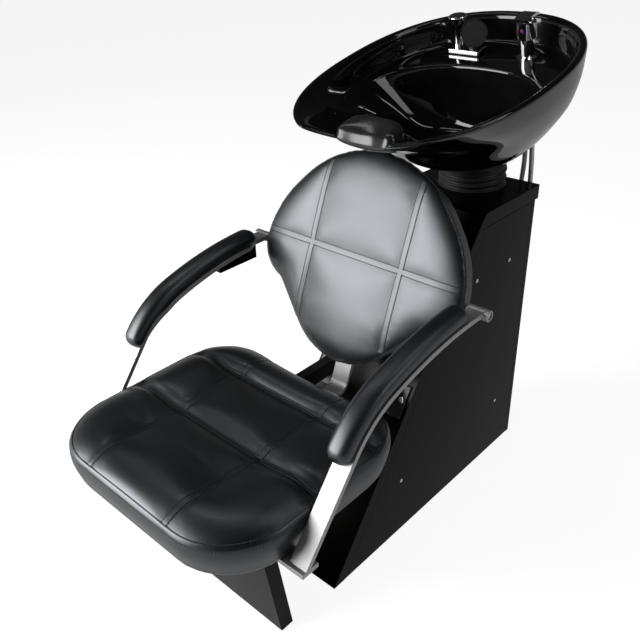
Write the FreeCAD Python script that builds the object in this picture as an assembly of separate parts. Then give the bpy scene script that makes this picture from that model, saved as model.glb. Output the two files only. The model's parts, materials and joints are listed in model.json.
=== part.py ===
import FreeCAD, Part
import math
import os

# Shampoo chair: a seat with arms in front of a slant-fronted cabinet that carries a tilting basin.
# Millimetres. Shapes are drawn from the foot of the cabinet front, on the middle plane, with +Y to the
# rear and +Z up; they are written out with the origin in the middle of the cabinet's base.

V = FreeCAD.Vector
X_AXIS = V(1, 0, 0)
Z_AXIS = V(0, 0, 1)

# Shared values
overrun = 5.0
run_clear = 0.1
soft_clear = 0.4

# Cabinet
cab_width = 277.0
cab_depth = 760.0
cab_height = 740.0
cab_setback = 532.0
side_board = 18.0
front_board = 30.0
rear_board = 15.0
base_thick = 18.0
top_thick = 36.0
top_overhang = 15.0
top_round = 20.0
waste_hole_y = 670.0
waste_hole_r = 38.0
rail_places_y = (514.0, 659.0, 242.0, 660.0)
rail_places_z = (580.0, 580.0, 159.0, 159.0)
rail_deep = 30.0
rail_tall = 40.0
screw_r = 2.5
screw_head_r = 5.0
screw_head_tall = 1.6
screw_bite = 34.0

# Front leg and seat frame
leg_width = 255.0
leg_thick = 34.0
leg_foot_y = -156.0
leg_lean = 8.0
tube_x = 95.0
tube_wide = 25.0
tube_tall = 40.0
tube_wall = 2.5
tube_front_y = -216.0
flange_tall = 62.0
flange_wide = 70.0
flange_thick = 5.0
flange_bolt_r = 4.0
flange_bolt_head_r = 7.5
flange_bolt_head_tall = 5.5
flange_bolt_spread = 50.0

# Seat
seat_half_width = 272.0
seat_front_y = -385.0
seat_rear_y = 112.0
seat_corner_r = 137.0
seat_under_z = 400.0
seat_pipe_z = 468.0
seat_top_z = 497.0
seat_under_inset = 8.0
seat_bulge_z = 438.0
seat_pipe_inset = 2.0
seat_shoulder_inset = 16.0
seat_shoulder_drop = 12.0
seat_top_inset = 62.0
seat_board_inset = 18.0
seat_board_thick = 15.0
seat_seam_x = 112.0
seat_seam_front_y = -163.0
seat_seam_rear_y = -4.0
seat_groove_r = 20.0
seat_groove_deep = 16.0
seam_r = 9.0
seam_deep = 8.0

# Back pad, drawn on its own leaning plane
back_y = 272.0
back_z = 679.0
back_lean = 22.0
back_half_width = 271.0
back_top_v = 232.0
back_shoulder_x = 209.0
back_shoulder_v = 128.0
back_cheek_x = 260.0
back_cheek_v = 40.0
back_wide_v = -22.0
back_hip_x = 254.0
back_hip_v = -60.0
back_waist_x = 205.0
back_waist_v = -92.0
back_foot_x = 120.0
back_foot_v = -178.0
back_bottom_v = -226.0
board_rear_depth = -20.0
board_thick = 34.0
board_inset = 10.0
back_edge_inset = 6.0
back_bulge_depth = 24.0
back_shoulder_inset = 16.0
back_shoulder_depth = 35.0
back_face_inset = 60.0
back_face_depth = 44.0
back_seam_x = 121.0
back_seam_v = 10.0
bar_wide = 45.0
bar_thick = 8.0
bar_top_v = -70.0
bar_bend_r = 24.0
bar_front_y = 22.0
bar_screw_gap = 30.0
plate_screw_r = 3.0
plate_screw_head_r = 6.0
plate_screw_head_tall = 3.0
plate_screw_bite = 12.0

# Arms
arm_outer_x = 312.0
arm_inner_x = 262.0
arm_leg_inner_x = 274.0
arm_leg_y = -112.0
arm_broad_y = -60.0
arm_thick = 10.0
arm_rear_y = 227.0
arm_under_z = 661.0
arm_bend_r1 = 810.0
arm_bend_turn1 = 17.7
arm_bend_r2 = 200.0
arm_bend_turn2 = 33.8
arm_foot_z = 390.0
arm_foot_long = 38.0
arm_foot_inner_x = 228.0
arm_taper_y = 182.0
arm_neck_y = 210.0
arm_neck_x = 276.0
barrel_r = 11.5
barrel_inner_x = 273.0
barrel_outer_x = 320.6
barrel_v = -20.0
barrel_depth = 5.0
barrel_recess = 7.0
barrel_recess_r = 7.5
spacer_r = 8.0
bolt_r = 4.0
bolt_head_r = 6.5
bolt_head_tall = 5.0
bolt_bite = 42.0
foot_screw_x = 236.0
foot_screw_step = 18.0

# Arm pads
pad_steps = 6
pad_half_width = 22.5
pad_thick = 33.0
pad_side_tall = 14.0
pad_rear_gap = 12.0
pad_front_past = 10.0
pad_tip_half_width = 12.0
pad_tip_thick = 12.0
pad_tip_long = 16.0

# Block under the left arm
block_front_y = 108.0
block_rear_y = 222.0
block_under_z = 622.0
block_outer_x = 311.0
block_wide = 24.0

# Basin, drawn on its own sloping rim plane: u to the rear along the rim, w up from the rim
basin_y = 210.0
basin_z = 965.0
basin_slope = 12.4
rim_half_width = 265.0
rim_front_u = -30.0
rim_rear_u = 678.0
rim_broad_u = 333.0
rim_wall = 20.0
rim_round = 8.0
skin_w = (-60.0, -120.0, -190.0)
skin_front_u = (75.0, 190.0, 285.0)
skin_rear_u = (664.0, 640.0, 596.0)
skin_half_width = (250.0, 222.0, 166.0)
foot_w = -256.0
foot_u = 435.0
foot_r = 94.0
deck_w = -60.0
deck_front_u = 92.0
deck_rear_u = 642.0
deck_half_width = 234.0
deck_thick = 12.0
tub_lip_u = 488.0
tub_half_width = 222.0
tub_mid_w = -130.0
tub_mid_front_u = 222.0
tub_mid_rear_u = 476.0
tub_mid_half_width = 178.0
tub_floor_w = -205.0
tub_floor_front_u = 312.0
tub_floor_rear_u = 448.0
tub_floor_half_width = 116.0
notch_width = 214.0
notch_deep = 56.0
notch_reach = 124.0
well_half_width = 140.0
well_corner_r = 20.0
foot_well_r = 70.0
floor_thick = 14.0
egg_power_share = 2.3
egg_count = 28

# Neck rest
rest_half_width = 72.0
rest_front_u = 58.0
rest_rear_u = 106.0
rest_thick = 14.0
rest_flap = 16.0
rest_lift = 2.0

# Waste
drain_u = 395.0
flange_r = 34.0
flange_tall_w = 3.0
tail_r = 20.0
tail_bore_r = 16.0
waste_hose_wall = 3.0
tail_end_w = -262.0
waste_nut_r = 28.0
waste_nut_tall = 9.0
strainer_r = 27.0
strainer_tall = 4.0
strainer_knob_r = 7.0
strainer_knob_tall = 9.0
strainer_hole_r = 2.6
strainer_hole_ring_r = 15.0
strainer_holes = 10
strainer_stem_r = 12.0
strainer_stem_long = 10.0
pipe_y = 700.0
pipe_top_z = 600.0
pipe_foot_z = 1.0
clip_low_z = 90.0
clip_high_z = 480.0
clip_tall = 22.0
clip_wall = 6.0
waste_bend_z = 735.0
waste_bend_y = 665.5
waste_end_run = 60.0
bend_share = 0.45

# Tilt brackets and gaiter
pivot_y = 690.0
pivot_z = 770.0
ear_thick = 5.0
head_ear_x = 31.0
foot_ear_x = 37.0
foot_plate_x = 58.0
foot_plate_long = 50.0
ear_half_long = 17.0
ear_over = 15.0
pivot_r = 5.0
pivot_head_r = 8.0
pivot_head_tall = 5.0
head_plate_front_u = 431.0
head_plate_rear_u = 485.0
head_plate_half_width = 40.0
gaiter_r = 82.0
gaiter_fold = 6.0
gaiter_wall = 3.0
gaiter_folds = 4
gaiter_bead = 7.0

# Mixer
mixer_x = 65.0
mixer_from_rear = 70.0
mixer_u = deck_rear_u - mixer_from_rear
well_ahead = 40.0
well_behind = 50.0
well_front_u = mixer_u - well_ahead
well_rear_u = mixer_u + well_behind
mixer_ring_r = 25.0
mixer_ring_tall = 5.0
mixer_base_r = 17.5
mixer_top_r = 20.0
mixer_tall = 37.0
shank_r = 15.0
shank_end_w = -86.0
shank_nut_r = 23.0
shank_nut_tall = 7.0
cap_r = 21.5
cap_tall = 36.0
ear_gap = 8.0
ear_wide = 5.0
ear_back = 10.0
ear_tall = 5.0
lever_pin_r = 2.5
lever_knuckle_r = 4.5
lever_half_width = 18.0
lever_front = 25.0
lever_rear = 24.0
lever_thick = 5.0
lever_arch = 6.0
lever_rise = 9.0
dot_r = 4.0
dot_sink = 2.0
dot_proud = 0.6
dot_up = 64.0

# Spray set
spray_x = -84.0
spray_from_rear = 90.0
spray_u = deck_rear_u - spray_from_rear
block_long = 84.0
block_ahead = 17.0
block_behind = 26.0
block_tall = 12.0
breaker_offset = -28.0
breaker_back = 12.0
breaker_r = 13.0
breaker_tall = 57.0
breaker_cap_r = 21.5
breaker_cap_tall = 14.0
breaker_cap_round = 4.0
shower_offset = 22.0
handle_r = 11.0
handle_foot = 3.0
head_r = 30.5
head_thick = 24.0
head_up = 48.0
head_turn = 42.0
head_face_up = 18.0
face_r = 27.0
face_sink = 2.0

# Supply hoses
hose_r = 6.0
hose_gap = 0.9
hose_nut_r = 7.5
hose_nut_tall = 14.0
hose_half_gap = 8.5
inlet_x = (80.0, 105.0)
inlet_y = 790.0
inlet_z = 650.0
inlet_r = 9.0
inlet_tall = 22.0
hose_end_run = 50.0
hose_mid_x = (66.0, 84.0)
hose_mid_y = 801.0
hose_mid_z = 900.0
hose_low_x = (82.0, 99.0)
hose_low_y = 795.0
hose_low_z = 800.0


def box(x0, x1, y0, y1, z0, z1):
    """A block between two corners."""
    return Part.makeBox(x1 - x0, y1 - y0, z1 - z0, V(x0, y0, z0))


def rod(radius, start, end):
    """A round bar between two points."""
    run = end.sub(start)
    return Part.makeCylinder(radius, run.Length, start, run)


def pipe(radius, bore, start, end):
    """A round tube between two points."""
    return rod(radius, start, end).cut(rod(bore, start, end))


def slab(outline, x0, x1):
    """A prism across the chair from an outline of (y, z) points."""
    wire = Part.makePolygon([V(x0, y, z) for y, z in outline + outline[:1]])
    return Part.Face(wire).extrude(V(x1 - x0, 0, 0))


def arc(a, b, c):
    """An arc edge through three points."""
    return Part.Arc(a, b, c).toShape()


def line(a, b):
    """A straight edge."""
    return Part.LineSegment(a, b).toShape()


def mirrored(shape):
    """The same piece on the other side of the chair."""
    return shape.mirror(V(0, 0, 0), X_AXIS)


def both_sides(shape):
    """A piece and its mirror image as one set."""
    return Part.makeCompound([shape, mirrored(shape)])


def turned(angle, y, z):
    """The placement of a plane turned about the cross axis and set at a height."""
    return FreeCAD.Placement(V(0, y, z), FreeCAD.Rotation(X_AXIS, angle))


def placed(shape, place):
    """A copy of a shape moved by a placement."""
    copy = shape.copy()
    copy.Placement = place.multiply(copy.Placement)
    return copy


slope = cab_setback / cab_height
front_level = front_board * math.hypot(cab_setback, cab_height) / cab_height
carcass_top = cab_height - top_thick
half_width = cab_width / 2
inner_half = half_width - side_board
back_place = turned(90.0 - back_lean, back_y, back_z)
basin_place = turned(basin_slope, basin_y, basin_z)
barrel = back_place.multVec(V(0, barrel_v, barrel_depth))
pivot_local = basin_place.inverse().multVec(V(0, pivot_y, pivot_z))
deck_under = deck_w - deck_thick
floor_under = tub_floor_w - floor_thick


def front_panel():
    """The slanting front board of the cabinet."""
    top_y = slope * carcass_top
    panel = slab([(0, 0), (front_level, 0), (top_y + front_level, carcass_top), (top_y, carcass_top)],
                 -half_width, half_width)
    for bolt in flange_bolt_set(run_clear):
        panel = panel.cut(bolt)
    return panel


def side_panel():
    """A cabinet side behind the front board, drilled for the rail screws."""
    rear = cab_depth - rear_board
    panel = slab([(front_level, 0), (rear, 0), (rear, carcass_top),
                  (slope * carcass_top + front_level, carcass_top)], inner_half, half_width)
    for y, z in zip(rail_places_y, rail_places_z):
        panel = panel.cut(side_screw(y, z, run_clear))
    return panel


def side_screw(y, z, grow):
    """A round-headed screw through the cabinet side into a rail."""
    shank = rod(screw_r + grow, V(half_width, y, z), V(half_width - screw_bite - grow, y, z))
    return shank.fuse(rod(screw_head_r, V(half_width, y, z), V(half_width + screw_head_tall, y, z)))


def cross_rails():
    """The four battens that tie the two cabinet sides."""
    rails = []
    for y, z in zip(rail_places_y, rail_places_z):
        rail = box(-inner_half, inner_half, y - rail_deep / 2, y + rail_deep / 2,
                   z - rail_tall / 2, z + rail_tall / 2)
        screw = side_screw(y, z, run_clear)
        rails.append(rail.cut(screw).cut(mirrored(screw)))
    return Part.makeCompound(rails)


def side_screws():
    """All eight rail screws."""
    screws = [side_screw(y, z, 0) for y, z in zip(rail_places_y, rail_places_z)]
    return both_sides(Part.makeCompound(screws))


def rear_panel():
    """The upright rear board, drilled for the water inlets."""
    panel = box(-half_width, half_width, cab_depth - rear_board, cab_depth, 0, carcass_top)
    for x in inlet_x:
        panel = panel.cut(rod(inlet_r + run_clear, V(x, cab_depth - rear_board - overrun, inlet_z),
                              V(x, cab_depth + overrun, inlet_z)))
    return panel


def base_board():
    """The bottom board between the sides, with the waste pipe's hole."""
    rear = cab_depth - rear_board
    board = slab([(front_level, 0), (rear, 0), (rear, base_thick),
                  (slope * base_thick + front_level, base_thick)], -inner_half, inner_half)
    return board.cut(rod(tail_r + soft_clear, V(0, pipe_y, -overrun), V(0, pipe_y, base_thick + overrun)))


def top_board():
    """The thick top board with a rounded front corner and the waste hole."""
    rear = cab_depth + top_overhang
    board = slab([(slope * carcass_top, carcass_top), (rear, carcass_top), (rear, cab_height),
                  (cab_setback, cab_height)], -half_width, half_width)
    corner = [e for e in board.Edges
              if all(abs(p.Point.y - cab_setback) + abs(p.Point.z - cab_height) < run_clear for p in e.Vertexes)]
    board = board.makeFillet(top_round, corner)
    return board.cut(rod(waste_hole_r, V(0, waste_hole_y, carcass_top - overrun),
                         V(0, waste_hole_y, cab_height + overrun)))


def front_leg():
    """The leaning slab leg under the seat."""
    top = seat_under_z - tube_tall
    lean = math.tan(math.radians(leg_lean)) * top
    rear = leg_foot_y + leg_thick
    return slab([(leg_foot_y, 0), (rear, 0), (rear - lean, top), (leg_foot_y - lean, top)],
                -leg_width / 2, leg_width / 2)


def seat_tube():
    """One hollow rail from the leg to the cabinet, with a flange welded on its slanted end."""
    low = seat_under_z - tube_tall
    x0 = tube_x - tube_wide / 2
    ends = [(tube_front_y, low), (slope * low, low), (slope * seat_under_z, seat_under_z),
            (tube_front_y, seat_under_z)]
    tube = slab(ends, x0, x0 + tube_wide)
    hollow = slab([(tube_front_y - overrun, low + tube_wall),
                   (slope * low - flange_thick, low + tube_wall),
                   (slope * low - flange_thick, seat_under_z - tube_wall),
                   (tube_front_y - overrun, seat_under_z - tube_wall)],
                  x0 + tube_wall, x0 + tube_wide - tube_wall)
    foot = seat_under_z - flange_tall
    deep = flange_thick * front_level / front_board
    flange = slab([(slope * foot - deep, foot), (slope * foot, foot),
                   (slope * seat_under_z, seat_under_z), (slope * seat_under_z - deep, seat_under_z)],
                  tube_x - flange_wide / 2, tube_x + flange_wide / 2)
    welded = tube.cut(hollow).fuse(flange)
    for bolt in flange_bolt_set(run_clear):
        welded = welded.cut(bolt)
    return welded


def flange_bolt_set(grow):
    """The round-headed bolts that hold both flanges to the cabinet front."""
    angle = math.atan2(cab_height, cab_setback)
    inward = V(0, math.sin(angle), -math.cos(angle))
    z = seat_under_z - flange_tall / 2
    bolts = []
    for side in (-1, 1):
        for step in (-1, 1):
            seat = V(side * tube_x + step * flange_bolt_spread / 2, slope * z, z)
            face = seat.sub(inward * flange_thick)
            shank = rod(flange_bolt_r + grow, face, seat.add(inward * front_board))
            head = rod(flange_bolt_head_r, face.sub(inward * flange_bolt_head_tall), face)
            bolts.append(shank.fuse(head))
    return bolts


def rounded_plan(half_x, y0, y1, corner, z):
    """A rounded rectangle lying level, as a wire of four lines and four arcs."""
    share = math.sqrt(0.5)
    edges = []
    corners = [(half_x, y1, 1, 1), (-half_x, y1, -1, 1), (-half_x, y0, -1, -1), (half_x, y0, 1, -1)]
    spans = []
    for x, y, sx, sy in corners:
        cx, cy = x - sx * corner, y - sy * corner
        ends = [V(x, cy, z), V(cx, y, z)]
        middle = V(cx + sx * corner * share, cy + sy * corner * share, z)
        spans.append((ends if sx * sy > 0 else ends[::-1], middle))
    for index, (ends, middle) in enumerate(spans):
        following = spans[(index + 1) % len(spans)][0]
        edges.append(arc(ends[0], middle, ends[1]))
        edges.append(line(ends[1], following[0]))
    return Part.Wire(edges)


def seat_plan(inset, z):
    """The seat's outline drawn in by an inset."""
    return rounded_plan(seat_half_width - inset, seat_front_y + inset, seat_rear_y - inset,
                        seat_corner_r - inset * (seat_corner_r / seat_half_width), z)


def seat_board_blank(grow):
    """The seat board's own form before drilling, or the pocket for it."""
    wire = seat_plan(seat_board_inset - grow, seat_under_z - grow)
    return Part.Face(wire).extrude(V(0, 0, seat_board_thick + grow + grow))


def seat_board():
    """The plywood board inside the seat, drilled for the bar and the arm feet."""
    board = seat_board_blank(0)
    for screw in bar_seat_screws(run_clear):
        board = board.cut(screw)
    for screw in foot_screws(run_clear):
        board = board.cut(screw).cut(mirrored(screw))
    return board


def seat_cushion():
    """The crowned cushion with drawn-in sides and a sunk grid of seams."""
    body = Part.makeLoft([seat_plan(seat_under_inset, seat_under_z), seat_plan(0, seat_bulge_z),
                          seat_plan(seat_pipe_inset, seat_pipe_z),
                          seat_plan(seat_shoulder_inset, seat_top_z - seat_shoulder_drop),
                          seat_plan(seat_top_inset, seat_top_z)], True, False)
    z = seat_top_z + seat_groove_r - seat_groove_deep
    for x in (-seat_seam_x, seat_seam_x):
        body = body.cut(rod(seat_groove_r, V(x, seat_front_y - overrun, z), V(x, seat_rear_y + overrun, z)))
    for y in (seat_seam_front_y, seat_seam_rear_y):
        body = body.cut(rod(seat_groove_r, V(-seat_half_width - overrun, y, z),
                            V(seat_half_width + overrun, y, z)))
    return body.cut(seat_board_blank(soft_clear))


def back_outline(inset, n):
    """The back pad's outline on its own plane: round top, hips, tapering foot."""
    k = 1.0 - inset / back_half_width

    def at(x, v):
        return V(x * k, v * k, n)

    right = [((back_shoulder_x, back_shoulder_v), (back_cheek_x, back_cheek_v), (back_half_width, back_wide_v)),
             ((back_half_width, back_wide_v), (back_hip_x, back_hip_v), (back_waist_x, back_waist_v))]
    edges = [arc(at(-back_shoulder_x, back_shoulder_v), at(0, back_top_v), at(back_shoulder_x, back_shoulder_v))]
    edges += [arc(at(*a), at(*b), at(*c)) for a, b, c in right]
    edges.append(line(at(back_waist_x, back_waist_v), at(back_foot_x, back_foot_v)))
    edges.append(arc(at(back_foot_x, back_foot_v), at(0, back_bottom_v), at(-back_foot_x, back_foot_v)))
    edges.append(line(at(-back_foot_x, back_foot_v), at(-back_waist_x, back_waist_v)))
    for a, b, c in right[::-1]:
        edges.append(arc(at(-c[0], c[1]), at(-b[0], b[1]), at(-a[0], a[1])))
    return Part.Wire(edges)


def back_board():
    """The covered plywood board behind the back cushion, drilled for the arm bolts and bar screws."""
    board = Part.Face(back_outline(board_inset, board_rear_depth)).extrude(V(0, 0, board_thick))
    board = placed(board, back_place).cut(barrel_bolt(run_clear)).cut(mirrored(barrel_bolt(run_clear)))
    for screw in bar_back_screws(run_clear):
        board = board.cut(screw)
    return board


def back_cushion():
    """The crowned back cushion with two upright seams and one cross seam."""
    foot_n = board_rear_depth + board_thick + soft_clear
    body = Part.makeLoft([back_outline(back_edge_inset, foot_n), back_outline(0, back_bulge_depth),
                          back_outline(back_shoulder_inset, back_shoulder_depth),
                          back_outline(back_face_inset, back_face_depth)], True, False)
    n = back_face_depth + seam_r - seam_deep
    for x in (-back_seam_x, back_seam_x):
        body = body.cut(rod(seam_r, V(x, back_bottom_v - overrun, n), V(x, back_top_v + overrun, n)))
    body = body.cut(rod(seam_r, V(-back_half_width - overrun, back_seam_v, n),
                        V(back_half_width + overrun, back_seam_v, n)))
    return placed(body, back_place)


def support_bar():
    """The bent flat bar from under the seat board up the back of the back board."""
    rise = 90.0 - back_lean
    up = V(0, math.cos(math.radians(rise)), math.sin(math.radians(rise)))
    rear = V(0, up.z, -up.y)
    top = back_place.multVec(V(0, bar_top_v, board_rear_depth))
    drop = (top.z - seat_under_z) / up.z
    corner = top.sub(up * drop)
    reach = bar_bend_r * math.tan(math.radians(rise / 2))
    inner_end = corner.sub(V(0, reach, 0))
    inner_start = corner.add(up * reach)
    hub = inner_end.add(V(0, 0, bar_bend_r))
    half = math.radians(rise / 2)
    middle = V(0, math.sin(half), -math.cos(half))
    outer_r = bar_bend_r + bar_thick
    edges = [line(top, inner_start),
             arc(inner_start, hub.add(middle * bar_bend_r), inner_end),
             line(inner_end, V(0, bar_front_y, seat_under_z)),
             line(V(0, bar_front_y, seat_under_z), V(0, bar_front_y, seat_under_z - bar_thick)),
             line(V(0, bar_front_y, seat_under_z - bar_thick), inner_end.sub(V(0, 0, bar_thick))),
             arc(inner_end.sub(V(0, 0, bar_thick)), hub.add(middle * outer_r), inner_start.add(rear * bar_thick)),
             line(inner_start.add(rear * bar_thick), top.add(rear * bar_thick)),
             line(top.add(rear * bar_thick), top)]
    bar = Part.Face(Part.Wire(edges)).extrude(V(bar_wide, 0, 0))
    bar.translate(V(-bar_wide / 2, 0, 0))
    for screw in bar_back_screws(run_clear) + bar_seat_screws(run_clear):
        bar = bar.cut(screw)
    return bar


def plate_screw(seat, way, thick, grow):
    """A pan-headed screw that clamps a plate of a given thickness, head outside."""
    shank = rod(plate_screw_r + grow, seat, seat.add(way * (thick + plate_screw_bite + grow)))
    return shank.fuse(rod(plate_screw_head_r, seat.sub(way * plate_screw_head_tall), seat))


def bar_back_screws(grow):
    """The two screws from the bar into the back board."""
    way = back_place.Rotation.multVec(Z_AXIS)
    seats = [back_place.multVec(V(0, bar_top_v - step * bar_screw_gap, board_rear_depth - bar_thick)) for step in (1, 2)]
    return [plate_screw(seat, way, bar_thick, grow) for seat in seats]


def bar_seat_screws(grow):
    """The two screws from the bar up into the seat board."""
    seats = [V(0, bar_front_y + step * bar_screw_gap / 2, seat_under_z - bar_thick) for step in (1, 3)]
    return [plate_screw(seat, Z_AXIS, bar_thick, grow) for seat in seats]


def arm_turns(steps):
    """Turns in degrees along the arm's two bends, in equal steps of each bend."""
    first = [arm_bend_turn1 * step / steps for step in range(steps + 1)]
    return first + [arm_bend_turn1 + arm_bend_turn2 * step / steps for step in range(1, steps + 1)]


def arm_stations(offset, steps):
    """Points of the arm's side view at an offset from its underside, in equal steps of its two bends."""
    turn1 = math.radians(arm_bend_turn1)

    def on(hub, radius, turn):
        return V(0, hub.y - radius * math.sin(turn), hub.z + radius * math.cos(turn))

    hub1 = V(0, arm_rear_y, arm_under_z - arm_bend_r1)
    join = on(hub1, arm_bend_r1, turn1)
    hub2 = V(0, join.y + arm_bend_r2 * math.sin(turn1), join.z - arm_bend_r2 * math.cos(turn1))
    turns = [math.radians(turn) for turn in arm_turns(steps)]
    return ([on(hub1, arm_bend_r1 + offset, turn) for turn in turns[:steps + 1]]
            + [on(hub2, arm_bend_r2 + offset, turn) for turn in turns[steps + 1:]])


def arm_slope():
    """The unit way down the arm's straight front stretch."""
    turn = math.radians(arm_bend_turn1 + arm_bend_turn2)
    return V(0, -math.cos(turn), -math.sin(turn))


def arm():
    """The right cast arm: bent flat bar, inward foot and rear barrel."""
    low, high = arm_stations(0, 2), arm_stations(arm_thick, 2)
    down = arm_slope()
    low_end = low[4].add(down * ((low[4].z - arm_foot_z) / -down.z))
    high_end = high[4].add(down * ((high[4].z - arm_foot_z) / -down.z))
    tail_low = V(0, barrel.y, arm_under_z)
    tail_high = V(0, barrel.y, arm_under_z + arm_thick)
    edges = [line(tail_low, low[0]), arc(low[0], low[1], low[2]), arc(low[2], low[3], low[4]),
             line(low[4], low_end), line(low_end, high_end), line(high_end, high[4]),
             arc(high[4], high[3], high[2]), arc(high[2], high[1], high[0]),
             line(high[0], tail_high), line(tail_high, tail_low)]
    bar = Part.Face(Part.Wire(edges)).extrude(V(arm_outer_x, 0, 0))
    plan = [V(arm_leg_inner_x, seat_front_y, 0), V(arm_outer_x, seat_front_y, 0), V(arm_outer_x, cab_depth, 0),
            V(arm_neck_x, cab_depth, 0), V(arm_neck_x, arm_neck_y, 0), V(arm_inner_x, arm_taper_y, 0),
            V(arm_inner_x, arm_broad_y, 0), V(arm_leg_inner_x, arm_leg_y, 0)]
    bar = bar.common(Part.Face(Part.makePolygon(plan + plan[:1])).extrude(V(0, 0, cab_height)))
    foot = box(arm_foot_inner_x, arm_outer_x, high_end.y, high_end.y + arm_foot_long,
               arm_foot_z, seat_under_z)
    collar = rod(barrel_r, V(barrel_inner_x, barrel.y, barrel.z), V(barrel_outer_x, barrel.y, barrel.z))
    whole = bar.fuse([foot, collar]).removeSplitter()
    mouth = V(barrel_outer_x - barrel_recess, barrel.y, barrel.z)
    whole = whole.cut(rod(barrel_recess_r, mouth, V(barrel_outer_x + overrun, barrel.y, barrel.z)))
    for screw in foot_screws(run_clear):
        whole = whole.cut(screw)
    return whole.cut(barrel_bolt(run_clear))


def barrel_bolt(grow):
    """The bolt through the right barrel into the edge of the back board."""
    seat = barrel_outer_x - barrel_recess
    shank = rod(bolt_r + grow, V(seat, barrel.y, barrel.z),
                V(barrel_inner_x - bolt_bite - grow, barrel.y, barrel.z))
    return shank.fuse(rod(bolt_head_r, V(seat, barrel.y, barrel.z), V(seat + bolt_head_tall, barrel.y, barrel.z)))


def barrel_spacer():
    """The bush between the back board's edge and the right barrel."""
    edge = back_half_width - board_inset
    start = V(edge, barrel.y, barrel.z)
    end = V(barrel_inner_x, barrel.y, barrel.z)
    return pipe(spacer_r, bolt_r + run_clear, start, end)


def foot_screws(grow):
    """The two screws through the right arm's foot into the edge of the seat board."""
    down = arm_slope()
    high = arm_stations(arm_thick, 2)[-1]
    y = high.y + down.y * ((high.z - arm_foot_z) / -down.z) + arm_foot_long / 2
    thick = seat_under_z - arm_foot_z
    seats = [V(foot_screw_x, y + side * foot_screw_step / 2, arm_foot_z) for side in (-1, 1)]
    return [plate_screw(seat, Z_AXIS, thick, grow) for seat in seats]


def pad_section(station, across, out, half_w, thick, side):
    """A closed section of the arm pad: flat foot, upright sides and an arched top."""
    foot_l, foot_r = station.sub(across * half_w), station.add(across * half_w)
    knee_l, knee_r = foot_l.add(out * side), foot_r.add(out * side)
    crown = station.add(out * thick)
    return Part.Wire([line(foot_l, foot_r), line(foot_r, knee_r), arc(knee_r, crown, knee_l), line(knee_l, foot_l)])


def arm_pad():
    """The right arm pad, arched along the arm and across it, drawn in at both ends."""
    centre = V((arm_outer_x + arm_inner_x) / 2, 0, 0)
    base = [p.add(centre) for p in arm_stations(arm_thick + soft_clear, pad_steps)]
    turns = arm_turns(pad_steps)
    down = arm_slope()
    base[0] = base[0].sub(V(0, pad_rear_gap + pad_tip_long, 0))
    stations = [(base[0].add(V(0, pad_tip_long, 0)), 0, True)]
    stations += [(p, t, False) for p, t in zip(base, turns)]
    stations.append((base[-1].add(down * pad_front_past), turns[-1], False))
    stations.append((base[-1].add(down * (pad_front_past + pad_tip_long)), turns[-1], True))
    sections = []
    for point, turn, tip in stations:
        angle = math.radians(turn)
        out = V(0, -math.sin(angle), math.cos(angle))
        half_w, thick = (pad_tip_half_width, pad_tip_thick) if tip else (pad_half_width, pad_thick)
        side = pad_side_tall * thick / pad_thick
        sections.append(pad_section(point, X_AXIS, out, half_w, thick, side))
    return Part.makeLoft(sections, True, False)


def left_arm_block():
    """The small dark block under the rear of the left arm."""
    hub_z = arm_under_z - arm_bend_r1

    def under(y):
        return V(0, y, hub_z + math.sqrt(arm_bend_r1 ** 2 - (arm_rear_y - y) ** 2))

    front, rear = under(block_front_y), under(block_rear_y)
    edges = [arc(front, under((block_front_y + block_rear_y) / 2), rear),
             line(rear, V(0, block_rear_y, block_under_z)),
             line(V(0, block_rear_y, block_under_z), V(0, block_front_y, block_under_z)),
             line(V(0, block_front_y, block_under_z), front)]
    block = Part.Face(Part.Wire(edges)).extrude(V(block_wide, 0, 0))
    block.translate(V(-block_outer_x, 0, 0))
    return block


def egg(front_u, rear_u, broad_u, half_x, w):
    """A closed smooth egg outline on a plane of the basin."""
    points = []
    for step in range(egg_count):
        angle = 2 * math.pi * step / egg_count
        c, s = math.cos(angle), math.sin(angle)
        along = math.copysign(abs(c) ** (2 / egg_power_share), c)
        across = math.copysign(abs(s) ** (2 / egg_power_share), s)
        reach = rear_u - broad_u if c > 0 else broad_u - front_u
        points.append(V(half_x * across, broad_u + reach * along, w))
    curve = Part.BSplineCurve()
    curve.interpolate(Points=points, PeriodicFlag=True)
    return Part.Wire([curve.toShape()])


def broad(front_u, rear_u):
    """The broadest place of a lower egg, held at the rim's own share of the length."""
    return front_u + (rear_u - front_u) * (rim_broad_u - rim_front_u) / (rim_rear_u - rim_front_u)


def basin_skin():
    """The outer form of the basin from the foot to the rim."""
    wires = [egg(rim_front_u, rim_rear_u, rim_broad_u, rim_half_width, 0)]
    for front, rear, half_x, w in zip(skin_front_u, skin_rear_u, skin_half_width, skin_w):
        wires.append(egg(front, rear, broad(front, rear), half_x, w))
    wires.append(egg(foot_u - foot_r, foot_u + foot_r, foot_u, foot_r, foot_w))
    return Part.makeLoft(wires[::-1], True, False)


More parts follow.
